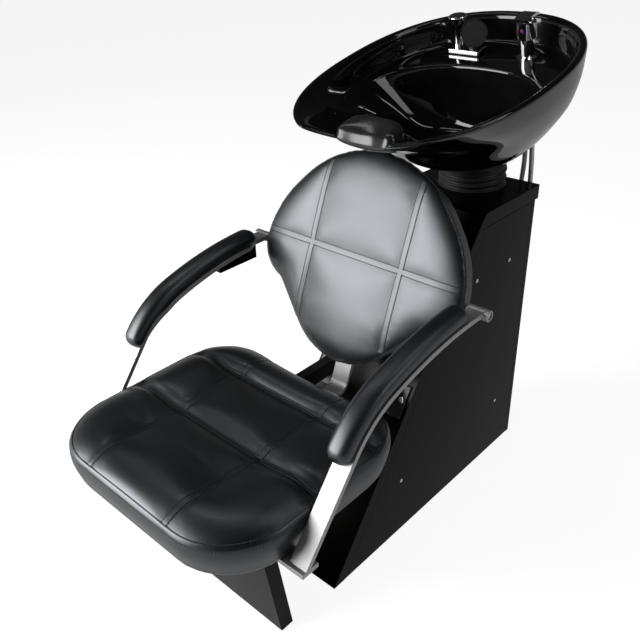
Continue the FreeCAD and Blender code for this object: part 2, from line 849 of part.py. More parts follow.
def basin_hollow():
    """The open inside: a sloping upper band down to the rear deck and the tub below it."""
    upper = Part.makeLoft([egg(deck_front_u, deck_rear_u, broad(deck_front_u, deck_rear_u), deck_half_width, deck_w),
                           egg(rim_front_u + rim_wall, rim_rear_u - rim_wall, rim_broad_u,
                               rim_half_width - rim_wall, 0)], True, True)
    mouth = Part.Face(egg(rim_front_u + rim_wall, rim_rear_u - rim_wall, rim_broad_u,
                          rim_half_width - rim_wall, 0)).extrude(V(0, 0, overrun))
    tub = Part.makeLoft([egg(tub_floor_front_u, tub_floor_rear_u, broad(tub_floor_front_u, tub_floor_rear_u),
                             tub_floor_half_width, tub_floor_w),
                         egg(tub_mid_front_u, tub_mid_rear_u, broad(tub_mid_front_u, tub_mid_rear_u),
                             tub_mid_half_width, tub_mid_w),
                         egg(deck_front_u, tub_lip_u, broad(deck_front_u, tub_lip_u), tub_half_width, deck_w)],
                        True, False)
    return upper, mouth, tub


def notch_hub():
    """Radius of the round neck notch and the height of its axis over the rim."""
    radius = ((notch_width / 2) ** 2 + notch_deep ** 2) / (2 * notch_deep)
    return radius, radius - notch_deep


def basin():
    """The ceramic basin: skin, hollow, neck notch, hose well, foot well and the drilled holes."""
    body = basin_skin()
    rim_edges = [e for e in body.Edges if abs(e.BoundBox.ZMax) + abs(e.BoundBox.ZMin) < run_clear]
    body = body.makeFillet(rim_round, rim_edges)
    for hollow in basin_hollow():
        body = body.cut(hollow)
    radius, hub = notch_hub()
    body = body.cut(rod(radius, V(0, rim_front_u - overrun, hub), V(0, notch_reach, hub)))
    well = rounded_plan(well_half_width, well_front_u, well_rear_u, well_corner_r, foot_w - overrun)
    body = body.cut(Part.Face(well).extrude(V(0, 0, deck_under - foot_w + overrun)))
    body = body.cut(rod(foot_well_r, V(0, foot_u, foot_w - overrun), V(0, foot_u, floor_under)))
    body = body.cut(rod(tail_r + run_clear, V(0, drain_u, floor_under - overrun), V(0, drain_u, tub_floor_w + overrun)))
    body = body.cut(rod(shank_r + run_clear, V(mixer_x, mixer_u, deck_under - overrun),
                        V(mixer_x, mixer_u, deck_w + overrun)))
    shower_x = spray_x + shower_offset
    return body.cut(rod(handle_r + run_clear, V(shower_x, spray_u, deck_under - overrun),
                        V(shower_x, spray_u, deck_w + overrun)))


def neck_rest(bowl):
    """The rubber saddle that straddles the wall at the neck notch."""
    radius, hub = notch_hub()
    inner, outer = radius - rest_thick, radius + rest_flap
    half = math.degrees(math.asin(rest_half_width / radius))
    face = Part.Face(Part.makePolygon([V(0, rest_front_u, hub - inner), V(0, rest_rear_u, hub - inner),
                                       V(0, rest_rear_u, hub - outer), V(0, rest_front_u, hub - outer),
                                       V(0, rest_front_u, hub - inner)]))
    ring = face.revolve(V(0, 0, hub), V(0, 1, 0), half).fuse(face.revolve(V(0, 0, hub), V(0, 1, 0), -half))
    under = box(-rim_half_width, rim_half_width, deck_front_u - deck_thick, rest_rear_u + overrun,
                foot_w, deck_w + rest_lift)
    saddle = ring.removeSplitter().cut(under).cut(bowl)
    return max(saddle.Solids, key=lambda solid: solid.Volume)


def waste_flange():
    """The chrome drain flange with its threaded tail."""
    top = tub_floor_w + flange_tall_w
    ring = rod(flange_r, V(0, drain_u, tub_floor_w), V(0, drain_u, top))
    tail = rod(tail_r, V(0, drain_u, tail_end_w), V(0, drain_u, tub_floor_w))
    return ring.fuse(tail).cut(rod(tail_bore_r, V(0, drain_u, tail_end_w - overrun), V(0, drain_u, top + overrun)))


def waste_nut():
    """The back nut under the tub floor."""
    return pipe(waste_nut_r, tail_r + run_clear, V(0, drain_u, floor_under - waste_nut_tall),
                V(0, drain_u, floor_under))


def strainer():
    """The loose hair strainer that lifts out of the drain."""
    seat = tub_floor_w + flange_tall_w
    plate = rod(strainer_r, V(0, drain_u, seat), V(0, drain_u, seat + strainer_tall))
    knob = rod(strainer_knob_r, V(0, drain_u, seat + strainer_tall),
               V(0, drain_u, seat + strainer_tall + strainer_knob_tall))
    stem = rod(strainer_stem_r, V(0, drain_u, seat - strainer_stem_long), V(0, drain_u, seat))
    body = plate.fuse([knob, stem])
    for step in range(strainer_holes):
        angle = 2 * math.pi * step / strainer_holes
        spot = V(strainer_hole_ring_r * math.cos(angle), drain_u + strainer_hole_ring_r * math.sin(angle), 0)
        body = body.cut(rod(strainer_hole_r, spot.add(V(0, 0, seat - strainer_stem_long - overrun)),
                            spot.add(V(0, 0, seat + strainer_tall + overrun))))
    return body


def head_bracket():
    """The upper tilt bracket: a plate under the tub with two ears down to the pivot."""
    plate = box(-head_plate_half_width, head_plate_half_width, head_plate_front_u, head_plate_rear_u,
                floor_under - ear_thick, floor_under)
    ear = box(head_ear_x, head_ear_x + ear_thick, pivot_local.y - ear_half_long, head_plate_rear_u,
              pivot_local.z - ear_over, floor_under - ear_thick)
    inner_cut = box(head_ear_x - overrun, head_ear_x + ear_thick + overrun, pivot_local.y + ear_half_long,
                    head_plate_rear_u + overrun, pivot_local.z - ear_over - overrun, foot_w)
    low_ear = ear.cut(inner_cut)
    eye = rod(pivot_r + run_clear, V(0, pivot_local.y, pivot_local.z),
              V(foot_plate_x, pivot_local.y, pivot_local.z))
    low_ear = low_ear.cut(eye)
    return plate.fuse([low_ear, mirrored(low_ear)])


def foot_bracket():
    """The right lower tilt bracket standing on the top board."""
    plate = box(foot_ear_x, foot_plate_x, pivot_y - foot_plate_long / 2, pivot_y + foot_plate_long / 2,
                cab_height, cab_height + ear_thick)
    ear = box(foot_ear_x, foot_ear_x + ear_thick, pivot_y - ear_half_long, pivot_y + ear_half_long,
              cab_height, pivot_z + ear_over)
    eye = rod(pivot_r + run_clear, V(0, pivot_y, pivot_z), V(foot_plate_x, pivot_y, pivot_z))
    return plate.fuse(ear).cut(eye)


def pivot_bolt():
    """The right pivot bolt through both ears."""
    start = V(head_ear_x, pivot_y, pivot_z)
    seat = V(foot_ear_x + ear_thick, pivot_y, pivot_z)
    return rod(pivot_r, start, seat).fuse(rod(pivot_head_r, seat, seat.add(X_AXIS * pivot_head_tall)))


def ring_wire(radius, share):
    """A circle of the gaiter between the top board and the basin's foot, turning with the slope."""
    low = V(0, pivot_y, cab_height + soft_clear)
    high = basin_place.multVec(V(0, foot_u, foot_w - soft_clear))
    middle = low.add((high.sub(low)) * share)
    normal = FreeCAD.Rotation(X_AXIS, basin_slope * share).multVec(Z_AXIS)
    circle = Part.Circle(middle, normal, radius)
    circle.XAxis = X_AXIS
    return Part.Wire([circle.toShape()])


def gaiter():
    """The folded rubber boot between the top board and the basin's foot."""
    outer, inner = [ring_wire(gaiter_r, 0)], [ring_wire(gaiter_r - gaiter_bead, 0)]
    for fold in range(1, 2 * gaiter_folds):
        share = fold / (2 * gaiter_folds)
        radius = gaiter_r - (gaiter_fold if fold % 2 else 0)
        outer.append(ring_wire(radius, share))
        inner.append(ring_wire(radius - gaiter_wall, share))
    outer.append(ring_wire(gaiter_r, 1))
    inner.append(ring_wire(gaiter_r - gaiter_bead, 1))
    return Part.makeLoft(outer, True, True).cut(Part.makeLoft(inner, True, True))


def cord(points, radius, bore):
    """A round tube along straight runs joined by tangent arcs; prints the bend radii."""
    edges = []
    start = points[0]
    for before, corner, after in zip(points, points[1:], points[2:]):
        back, ahead = before.sub(corner), after.sub(corner)
        turn = math.pi - back.getAngle(ahead)
        reach = bend_share * min(back.Length, ahead.Length)
        enter = corner.add(back.normalize() * reach)
        leave = corner.add(ahead.normalize() * reach)
        bend_r = reach / math.tan(turn / 2)
        hub_way = enter.add(leave).multiply(0.5).sub(corner).normalize()
        middle = corner.add(hub_way * (bend_r / math.cos(turn / 2) - bend_r))
        edges += [line(start, enter), arc(enter, middle, leave)]
        start = leave
        print("bend radius", round(bend_r, 1))
    edges.append(line(start, points[-1]))
    path = Part.Wire(edges)
    way = points[1].sub(points[0])
    outer = path.makePipeShell([Part.Wire([Part.Circle(points[0], way, radius).toShape()])], True, False)
    if bore:
        outer = outer.cut(path.makePipeShell([Part.Wire([Part.Circle(points[0], way, bore).toShape()])], True, False))
    return outer


def waste_hose():
    """The limp hose from the drain tail down to the fixed waste pipe."""
    start = basin_place.multVec(V(0, drain_u, tail_end_w - soft_clear))
    foot = V(0, pipe_y, pipe_top_z + soft_clear)
    route = [start, V(0, waste_bend_y, waste_bend_z), foot.add(Z_AXIS * waste_end_run), foot]
    return cord(route, tail_r, tail_r - waste_hose_wall)


def waste_pipe():
    """The rigid pipe down the inside of the cabinet to the floor."""
    return pipe(tail_r, tail_bore_r, V(0, pipe_y, pipe_foot_z), V(0, pipe_y, pipe_top_z))


def pipe_clips():
    """The two clips that hold the waste pipe to the rear board."""
    clips = []
    reach = tail_r + clip_wall
    for z in (clip_low_z, clip_high_z):
        clip = box(-reach, reach, pipe_y - reach, cab_depth - rear_board, z, z + clip_tall)
        clips.append(clip.cut(rod(tail_r + run_clear, V(0, pipe_y, z - overrun), V(0, pipe_y, z + clip_tall + overrun))))
    return Part.makeCompound(clips)


def mixer_body():
    """The tapered mixer column with its shank through the deck."""
    foot = deck_w + mixer_ring_tall
    column = Part.makeCone(mixer_base_r, mixer_top_r, mixer_tall, V(mixer_x, mixer_u, foot))
    shank = rod(shank_r, V(mixer_x, mixer_u, shank_end_w), V(mixer_x, mixer_u, foot))
    return column.fuse(shank)


def mixer_ring():
    """The flared base ring round the mixer's foot."""
    return Part.makeCone(mixer_ring_r, mixer_base_r, mixer_ring_tall, V(mixer_x, mixer_u, deck_w)).cut(
        rod(shank_r + run_clear, V(mixer_x, mixer_u, deck_w - overrun), V(mixer_x, mixer_u, deck_w + mixer_ring_tall)))


def shank_nut():
    """The nut that clamps the mixer under the deck."""
    return pipe(shank_nut_r, shank_r + run_clear, V(mixer_x, mixer_u, deck_under - shank_nut_tall),
                V(mixer_x, mixer_u, deck_under))


def dot(grow):
    """The small colour dot on the front of the turning cap."""
    up = deck_w + dot_up
    face = mixer_u - cap_r
    return rod(dot_r + grow, V(mixer_x, face - dot_proud, up), V(mixer_x, face + dot_sink + grow, up))


def cap_foot():
    """Height of the turning cap over the rim plane."""
    return deck_w + mixer_ring_tall + mixer_tall + run_clear


def lever_axis():
    """The lever's hinge point over the cap."""
    return V(mixer_x, mixer_u + ear_back, cap_foot() + cap_tall + ear_tall)


def mixer_cap():
    """The tall turning cap with a seat for the colour dot and two ears for the lever pin."""
    foot, axis = cap_foot(), lever_axis()
    cap = rod(cap_r, V(mixer_x, mixer_u, foot), V(mixer_x, mixer_u, foot + cap_tall))
    pin = rod(lever_pin_r + run_clear, axis.sub(X_AXIS * cap_r), axis.add(X_AXIS * cap_r))
    for side in (-1, 1):
        centre = mixer_x + side * (ear_gap + ear_wide / 2)
        ear = box(centre - ear_wide / 2, centre + ear_wide / 2, axis.y - lever_knuckle_r, axis.y + lever_knuckle_r,
                  foot + cap_tall, axis.z)
        round_top = rod(lever_knuckle_r, V(centre - ear_wide / 2, axis.y, axis.z),
                        V(centre + ear_wide / 2, axis.y, axis.z))
        cap = cap.fuse(ear.fuse(round_top))
    return cap.cut(pin).cut(dot(run_clear))


def lever_pin():
    """The pin through the cap's ears."""
    axis = lever_axis()
    reach = ear_gap + ear_wide
    return rod(lever_pin_r, axis.sub(X_AXIS * reach), axis.add(X_AXIS * reach))


def mixer_lever():
    """The arched lever plate with its knuckle between the ears."""
    axis = lever_axis()
    front, rear = mixer_u - lever_front, mixer_u + lever_rear
    low = axis.z + lever_rise - lever_thick
    points = [V(mixer_x, front, low - lever_arch / 2), V(mixer_x, mixer_u, low + lever_arch / 2), V(mixer_x, rear, low)]
    raised = [p.add(V(0, 0, lever_thick)) for p in points]
    wire = Part.Wire([arc(*points), line(points[2], raised[2]), arc(*raised[::-1]), line(raised[0], points[0])])
    plate = Part.Face(wire).extrude(V(lever_half_width * 2, 0, 0))
    plate.translate(V(-lever_half_width, 0, 0))
    reach = ear_gap - run_clear
    knuckle = rod(lever_knuckle_r, axis.sub(X_AXIS * reach), axis.add(X_AXIS * reach))
    web = box(mixer_x - reach, mixer_x + reach, axis.y - lever_knuckle_r, axis.y + lever_knuckle_r,
              axis.z, low + lever_arch / 2 + lever_thick / 2)
    pin = rod(lever_pin_r + run_clear, axis.sub(X_AXIS * cap_r), axis.add(X_AXIS * cap_r))
    return plate.fuse([knuckle, web]).cut(pin)


def spray_block():
    """The chrome block on the deck with a socket for the hand shower."""
    top = deck_w + block_tall
    block = box(spray_x - block_long / 2, spray_x + block_long / 2, spray_u - block_ahead,
                spray_u + block_behind, deck_w, top)
    socket = V(spray_x + shower_offset, spray_u, deck_w - overrun)
    return block.cut(rod(handle_r + run_clear, socket, V(socket.x, socket.y, top + overrun)))


def breaker_stem():
    """The upright stem of the vacuum breaker."""
    x, u, top = spray_x + breaker_offset, spray_u + breaker_back, deck_w + block_tall
    return rod(breaker_r, V(x, u, top), V(x, u, top + breaker_tall))


def breaker_cap():
    """The flat round cap of the vacuum breaker."""
    x, u, top = spray_x + breaker_offset, spray_u + breaker_back, deck_w + block_tall + breaker_tall
    cap = rod(breaker_cap_r, V(x, u, top), V(x, u, top + breaker_cap_tall))
    upper = [e for e in cap.Edges if len(e.Vertexes) == 1 and e.BoundBox.ZMin > top]
    return cap.makeFillet(breaker_cap_round, upper)


def shower_face_way():
    """The way the hand shower's face looks: forward, turned out and a little up."""
    turn, up = math.radians(head_turn), math.radians(head_face_up)
    return V(math.sin(turn) * math.cos(up), -math.cos(turn) * math.cos(up), math.sin(up))


def hand_shower():
    """The hand shower: handle in the socket and a round head on top."""
    x, way = spray_x + shower_offset, shower_face_way()
    centre = V(x, spray_u, deck_w + head_up)
    handle = rod(handle_r, V(x, spray_u, deck_w + handle_foot), centre.sub(Z_AXIS * (head_r / 2)))
    head = rod(head_r, centre.sub(way * (head_thick / 2)), centre.add(way * (head_thick / 2)))
    return handle.fuse(head).removeSplitter().cut(spray_face(run_clear))


def spray_face(grow):
    """The dull spray plate let into the head."""
    x, way = spray_x + shower_offset, shower_face_way()
    front = V(x, spray_u, deck_w + head_up).add(way * (head_thick / 2))
    return rod(face_r + grow, front.sub(way * (face_sink + grow)), front)


def hose_tops():
    """Top points of the two supply hoses under the mixer, on the basin's planes."""
    return [V(mixer_x + side * hose_half_gap, mixer_u, shank_end_w) for side in (-1, 1)]


def hose_nuts():
    """The two nuts that fix the hoses to the mixer."""
    return Part.makeCompound([rod(hose_nut_r, top, top.sub(Z_AXIS * hose_nut_tall)) for top in hose_tops()])


def supply_hose(index):
    """One braided supply hose from the mixer down behind the top board to its inlet."""
    top = hose_tops()[index].sub(Z_AXIS * (hose_nut_tall + hose_gap))
    start = basin_place.multVec(top)
    foot = V(inlet_x[index], inlet_y, inlet_z + inlet_tall + soft_clear)
    route = [start, V(hose_mid_x[index], hose_mid_y, hose_mid_z), V(hose_low_x[index], hose_low_y, hose_low_z),
             foot.add(Z_AXIS * hose_end_run), foot]
    return cord(route, hose_r, 0)


def water_inlets():
    """The two elbows on the rear board that the hoses screw on to."""
    inlets = []
    for x in inlet_x:
        elbow = V(x, inlet_y, inlet_z)
        stub = rod(inlet_r, V(x, cab_depth - rear_board, inlet_z), elbow)
        riser = rod(inlet_r, elbow, elbow.add(Z_AXIS * inlet_tall))
        inlets.append(stub.fuse([riser, Part.makeSphere(inlet_r, elbow)]).removeSplitter())
    return Part.makeCompound(inlets)


def write(name, shape):
    """Move a piece to the part's origin and write it."""
    copy = shape.copy()
    copy.translate(V(0, -cab_depth / 2, 0))
    copy.exportStep("parts/" + name + ".step")


def main():
    """Make every piece and write one file for each node."""
    os.makedirs("parts", exist_ok=True)
    right_panel, right_arm, right_pad, bowl = side_panel(), arm(), arm_pad(), basin()
    fixed = {
        "front_panel": front_panel(), "side_panel_right": right_panel, "side_panel_left": mirrored(right_panel),
        "rear_panel": rear_panel(), "base_board": base_board(), "top_board": top_board(),
        "cross_rails": cross_rails(), "side_screws": side_screws(), "front_leg": front_leg(),
        "seat_rails": both_sides(seat_tube()), "flange_bolts": Part.makeCompound(flange_bolt_set(0)),
        "seat_board": seat_board(), "seat_cushion": seat_cushion(),
        "back_board": back_board(), "back_cushion": back_cushion(), "back_support_bar": support_bar(),
        "bar_screws": Part.makeCompound(bar_back_screws(0) + bar_seat_screws(0)),
        "arm_right": right_arm, "arm_left": mirrored(right_arm),
        "arm_pad_right": right_pad, "arm_pad_left": mirrored(right_pad),
        "arm_barrel_bolts": both_sides(barrel_bolt(0)), "arm_spacers": both_sides(barrel_spacer()),
        "arm_foot_screws": both_sides(Part.makeCompound(foot_screws(0))), "left_arm_block": left_arm_block(),
        "tilt_foot_brackets": both_sides(foot_bracket()), "tilt_pivot_bolts": both_sides(pivot_bolt()),
        "bowl_gaiter": gaiter(), "waste_hose": waste_hose(), "waste_pipe": waste_pipe(), "pipe_clips": pipe_clips(),
        "hot_hose": supply_hose(0), "cold_hose": supply_hose(1), "water_inlets": water_inlets(),
    }
    tilting = {
        "bowl": bowl, "neck_rest": neck_rest(bowl), "waste_flange": waste_flange(), "waste_nut": waste_nut(),
        "hair_strainer": strainer(), "tilt_head_bracket": head_bracket(),
        "mixer_body": mixer_body(), "mixer_ring": mixer_ring(), "mixer_nut": shank_nut(), "mixer_dot": dot(0),
        "mixer_cap": mixer_cap(), "mixer_lever_pin": lever_pin(), "mixer_lever": mixer_lever(),
        "spray_block": spray_block(), "breaker_stem": breaker_stem(), "breaker_cap": breaker_cap(),
        "hand_shower": hand_shower(), "spray_face": spray_face(0), "hose_nuts": hose_nuts(),
    }
    for name, shape in fixed.items():
        write(name, shape)
    for name, shape in tilting.items():
        write(name, placed(shape, basin_place))


main()
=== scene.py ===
"""The looks of a shampoo chair: finishes, soft covers and glazed basin on a fixed frame."""

import json
import logging
import math
from dataclasses import dataclass
from enum import Enum
from typing import Callable, NamedTuple, Sequence

import bmesh
import bpy
from mathutils import Matrix, Vector
from mathutils.bvhtree import BVHTree


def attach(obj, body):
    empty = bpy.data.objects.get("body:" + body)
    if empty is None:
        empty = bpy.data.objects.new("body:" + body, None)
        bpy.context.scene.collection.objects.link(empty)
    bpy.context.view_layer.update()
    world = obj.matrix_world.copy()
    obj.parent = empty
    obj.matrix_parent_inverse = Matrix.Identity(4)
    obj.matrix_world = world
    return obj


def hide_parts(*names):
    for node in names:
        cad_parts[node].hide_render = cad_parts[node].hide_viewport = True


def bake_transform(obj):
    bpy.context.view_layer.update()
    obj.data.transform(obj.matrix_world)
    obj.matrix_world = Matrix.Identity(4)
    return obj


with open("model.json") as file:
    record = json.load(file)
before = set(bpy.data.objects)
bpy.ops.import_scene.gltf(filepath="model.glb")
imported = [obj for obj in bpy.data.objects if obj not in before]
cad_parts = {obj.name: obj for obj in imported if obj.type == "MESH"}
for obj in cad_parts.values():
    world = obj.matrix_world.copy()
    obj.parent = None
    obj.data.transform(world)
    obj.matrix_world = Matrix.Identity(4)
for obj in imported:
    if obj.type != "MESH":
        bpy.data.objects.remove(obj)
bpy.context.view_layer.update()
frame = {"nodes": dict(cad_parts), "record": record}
LOG = logging.getLogger("shampoo_chair")

Piece = bpy.types.Object
Shape = bmesh.types.BMesh
Socket = bpy.types.NodeSocket
Colour = tuple[float, float, float]
Place = tuple[float, float, float]
Spot = tuple[Vector, Vector]
Outline = Callable[[float, bool], tuple[float, float, float, float]]

BASIN_TILT = math.radians(12.4)
BASIN = Matrix.Translation((0.0, -0.170, 0.965)) @ Matrix.Rotation(BASIN_TILT, 4, "X")
BACK = Matrix.Translation((0.0, -0.108, 0.679)) @ Matrix.Rotation(math.radians(68.0), 4, "X")
BACK_OUT = BACK.to_3x3() @ Vector((0, 0, 1))
DRAIN = 0.395
WHITE = (1.0, 1.0, 1.0, 1.0)
SIDES = ((-1, "left"), (1, "right"))
WELD = 0.00002
SHARP_ANGLE = math.radians(35.0)
FLAT_ANGLE = math.radians(0.6)


class Body(str, Enum):
    """The moving groups of the chair."""

    STAND = "stand"
    BOWL = "bowl_unit"
    HEAD = "mixer_head"
    LEVER = "lever"
    SHOWER = "shower"
    STRAINER = "strainer"


class Way(Enum):
    """The direction that a sewn seam runs on a cushion's face."""

    ALONG = "along"
    ACROSS = "across"


# Small sums and shared steps


def clamp(value: float) -> float:
    """Keeps a value between 0 and 1."""
    return min(1.0, max(0.0, value))


def smooth_step(share: float) -> float:
    """Turns a share from 0 to 1 into a smooth step."""
    return share * share * (3.0 - 2.0 * share)


def hump(distance: float, reach: float) -> float:
    """Height of a soft hump at a distance from its middle, from 0 to 1."""
    return math.exp(-(distance / reach) ** 2)


def level_way(share: float) -> Vector:
    """The level direction at a share of a full turn."""
    return Vector((math.cos(2.0 * math.pi * share), math.sin(2.0 * math.pi * share), 0.0))


def grey(value: float, blue: float = 0.0) -> Colour:
    """A grey, with a little more blue where wanted."""
    return (value, value, value + blue)


def settled(piece: Piece) -> bpy.types.Mesh:
    """A new mesh of a piece with its modifiers applied."""
    return bpy.data.meshes.new_from_object(piece.evaluated_get(bpy.context.evaluated_depsgraph_get()))


def covered(piece: Piece) -> BVHTree:
    """The search tree of a piece's finished surface, for laying seams on it."""
    return BVHTree.FromObject(piece, bpy.context.evaluated_depsgraph_get())


def soften(shape: Shape, points: Sequence[bmesh.types.BMVert], passes: int) -> None:
    """Evens out some points of a shape.

    Args:
        shape: the shape.
        points: its points that may move.
        passes: how often they are evened out.
    """
    for _ in range(passes):
        bmesh.ops.smooth_vert(shape, verts=points, factor=0.5, use_axis_x=True, use_axis_y=True,
                              use_axis_z=True)


def loop_of(points: Sequence[bmesh.types.BMVert]) -> list[bmesh.types.BMEdge]:
    """The edges of a closed row of points."""
    return list({edge for point in points for edge in point.link_edges})


def bridge(shape: Shape, loops: list[list[bmesh.types.BMEdge]], closed: bool = False) -> None:
    """Joins closed rows of edges into one skin that faces outward.

    Args:
        shape: the shape that holds them.
        loops: the rows, in order.
        closed: whether the last row also joins the first.
    """
    for lower, upper in zip(loops, loops[1:] + (loops[:1] if closed else [])):
        bmesh.ops.bridge_loops(shape, edges=lower + upper)
    bmesh.ops.recalc_face_normals(shape, faces=shape.faces)


# Finishes


class Grain(NamedTuple):
    """A noise: how fine it is per metre, and how many finer layers it has."""

    scale: float
    detail: float


class Graph:
    """A tree of shader nodes while it is put together."""

    def __init__(self, tree: bpy.types.NodeTree) -> None:
        """Takes up a tree.

        Args:
            tree: the nodes of a material or of the world.
        """
        self.nodes, self.links = tree.nodes, tree.links

    def node(self, kind: str, values: dict | None = None) -> bpy.types.Node:
        """Adds a node.

        Args:
            kind: the node's type, without the first part that all share.
            values: values for its sockets, by name.

        Returns:
            The new node.
        """
        made = self.nodes.new("ShaderNode" + kind)
        for name, value in (values or {}).items():
            made.inputs[name].default_value = value
        return made

    def join(self, source: Socket, target: Socket) -> None:
        """Links two sockets."""
        self.links.new(source, target)

    def calc(self, operation: str, *terms: Socket | float) -> Socket:
        """Works out a value from others.

        Args:
            operation: the kind of sum.
            terms: sockets or plain numbers.

        Returns:
            The socket with the result.
        """
        made = self.node("Math")
        made.operation = operation
        for target, term in zip(made.inputs, terms):
            if isinstance(term, float):
                target.default_value = term
            else:
                self.join(term, target)
        return made.outputs[0]


class Recipe(Graph):
    """A material while its nodes are put together."""

    def __init__(self, name: str) -> None:
        """Starts a material with a plain shader.

        Args:
            name: the material's name.
        """
        self.material = bpy.data.materials.new(name)
        self.material.use_nodes = True
        super().__init__(self.material.node_tree)
        self.shader = self.nodes["Principled BSDF"]
        self.place = self.node("TexCoord").outputs["Object"]

    def moved(self, **values: Sequence[float]) -> Socket:
        """Turns, stretches or shifts the piece's own coordinates.

        Args:
            values: Rotation in radians, Scale by axis or Location in metres.

        Returns:
            The socket with the new coordinates.
        """
        mapping = self.node("Mapping", values)
        self.join(self.place, mapping.inputs["Vector"])
        return mapping.outputs["Vector"]

    def pattern(self, kind: str, values: dict, output: str, place: Socket | None = None) -> Socket:
        """Adds a pattern.

        Args:
            kind: the texture's type.
            values: values for its sockets, by name.
            output: the socket to read.
            place: the coordinates it reads, or the piece's own.

        Returns:
            The socket with its value.
        """
        made = self.node("Tex" + kind, values)
        self.join(place or self.place, made.inputs["Vector"])
        return made.outputs[output]

    def noise(self, grain: Grain, place: Socket | None = None) -> Socket:
        """Adds a noise on the piece's own coordinates or on others."""
        return self.pattern("Noise", {"Scale": grain.scale, "Detail": grain.detail}, "Fac", place)

    def cells(self, scale: float) -> Socket:
        """Adds cells of a count per metre, read as the distance to each one's middle."""
        return self.pattern("Voronoi", {"Scale": scale}, "Distance")

    def bands(self, scale: float, place: Socket, warp: float = 0.0) -> Socket:
        """Adds parallel bands along X of the given coordinates, which may waver."""
        return self.pattern("Wave", {"Scale": scale, "Distortion": warp, "Detail": 2.0}, "Fac", place)

    def spread(self, source: Socket, low: float, high: float) -> Socket:
        """Spreads a pattern's middle range over new limits.

        Args:
            source: the pattern.
            low: the least value.
            high: the most value.

        Returns:
            The socket with the new value.
        """
        made = self.node("MapRange", {"From Min": 0.3, "From Max": 0.7, "To Min": low, "To Max": high})
        self.join(source, made.inputs["Value"])
        return made.outputs["Result"]

    def sum(self, first: Socket, second: Socket, share: float) -> Socket:
        """Adds a share of the second pattern to the first."""
        return self.calc("MULTIPLY_ADD", second, share, first)

    def tint(self, share: Socket, low: Colour, high: Colour) -> None:
        """Colours the surface between two colours by a value from 0 to 1.

        Args:
            share: the value.
            low: the colour at 0.
            high: the colour at 1.
        """
        made = self.node("Mix")
        made.data_type = "RGBA"
        made.inputs[6].default_value = (*low, 1.0)
        made.inputs[7].default_value = (*high, 1.0)
        self.join(share, made.inputs[0])
        self.join(made.outputs[2], self.shader.inputs["Base Color"])

    def mottle(self, source: Socket, low: Colour, high: Colour) -> None:
        """Colours the surface between two colours by a pattern's middle range."""
        self.tint(self.spread(source, 0.0, 1.0), low, high)

    def rough(self, source: Socket, low: float, high: float) -> None:
        """Varies the roughness between two limits by a pattern."""
        self.join(self.spread(source, low, high), self.shader.inputs["Roughness"])

    def relief(self, height: Socket, depth: float, strength: float) -> None:
        """Gives the surface a fine relief.

        Args:
            height: the pattern of heights.
            depth: the depth of the relief in metres.
            strength: how strongly it shows.
        """
        made = self.node("Bump", {"Strength": strength, "Distance": depth})
        self.join(height, made.inputs["Height"])
        self.join(made.outputs["Normal"], self.shader.inputs["Normal"])

    def set(self, **values: float | Sequence[float]) -> None:
        """Sets constant values on the shader, by socket name with _ for each space."""
        for name, value in values.items():
            self.shader.inputs[name.replace("_", " ")].default_value = value


@dataclass(frozen=True)
class Finish:
    """One surface finish, with the record's slot that it belongs to."""

    slot: str

    def mix(self, recipe: Recipe) -> None:
        """Puts the finish together; each kind has its own way."""

    def make(self) -> bpy.types.Material:
        """Makes the material.

        Returns:
            The finished material.
        """
        recipe = Recipe(self.slot + "_finish")
        self.mix(recipe)
        return recipe.material


@dataclass(frozen=True)
class Laminate(Finish):
    """Polished dark board with faint wiping marks."""

    dark: Colour = grey(0.0022)
    pale: Colour = (0.0050, 0.0048, 0.0043)
    gloss: float = 0.10
    dull: float = 0.24
    smudge: Grain = Grain(7.0, 5.0)
    fleck: Grain = Grain(160.0, 4.0)
    ripple: Grain = Grain(45.0, 2.0)
    depth: float = 0.0003
    shine: float = 0.07

    def mix(self, recipe: Recipe) -> None:
        """Mixes smudges, a fine mottle and a slight ripple."""
        smudge, fleck = recipe.noise(self.smudge), recipe.noise(self.fleck)
        recipe.mottle(recipe.sum(smudge, fleck, 0.35), self.dark, self.pale)
        recipe.rough(recipe.sum(smudge, fleck, 0.2), self.gloss, self.dull)
        recipe.relief(recipe.noise(self.ripple), self.depth, 0.10)
        recipe.set(Specular_IOR_Level=self.shine)


@dataclass(frozen=True)
class Vinyl(Finish):
    """Soft-sheen upholstery vinyl with a pressed leather grain."""

    dark: Colour = grey(0.0026, 0.0003)
    pale: Colour = (0.0046, 0.0047, 0.0053)
    gloss: float = 0.35
    dull: float = 0.40
    sheen: Grain = Grain(6.0, 2.0)
    pores: Grain = Grain(1500.0, 2.0)
    pebbles: float = 620.0
    depth: float = 0.00025
    shine: float = 1.0
    shine_tint: Colour = (0.90, 0.95, 1.0)

    def mix(self, recipe: Recipe) -> None:
        """Mixes pebbled grain, pores and broad changes of sheen."""
        broad, pebble = recipe.noise(self.sheen), recipe.cells(self.pebbles)
        recipe.mottle(recipe.sum(broad, pebble, 0.25), self.dark, self.pale)
        recipe.rough(broad, self.gloss, self.dull)
        recipe.relief(recipe.sum(pebble, recipe.noise(self.pores), 0.5), self.depth, 0.22)
        recipe.set(Specular_IOR_Level=self.shine, Specular_Tint=(*self.shine_tint, 1.0))


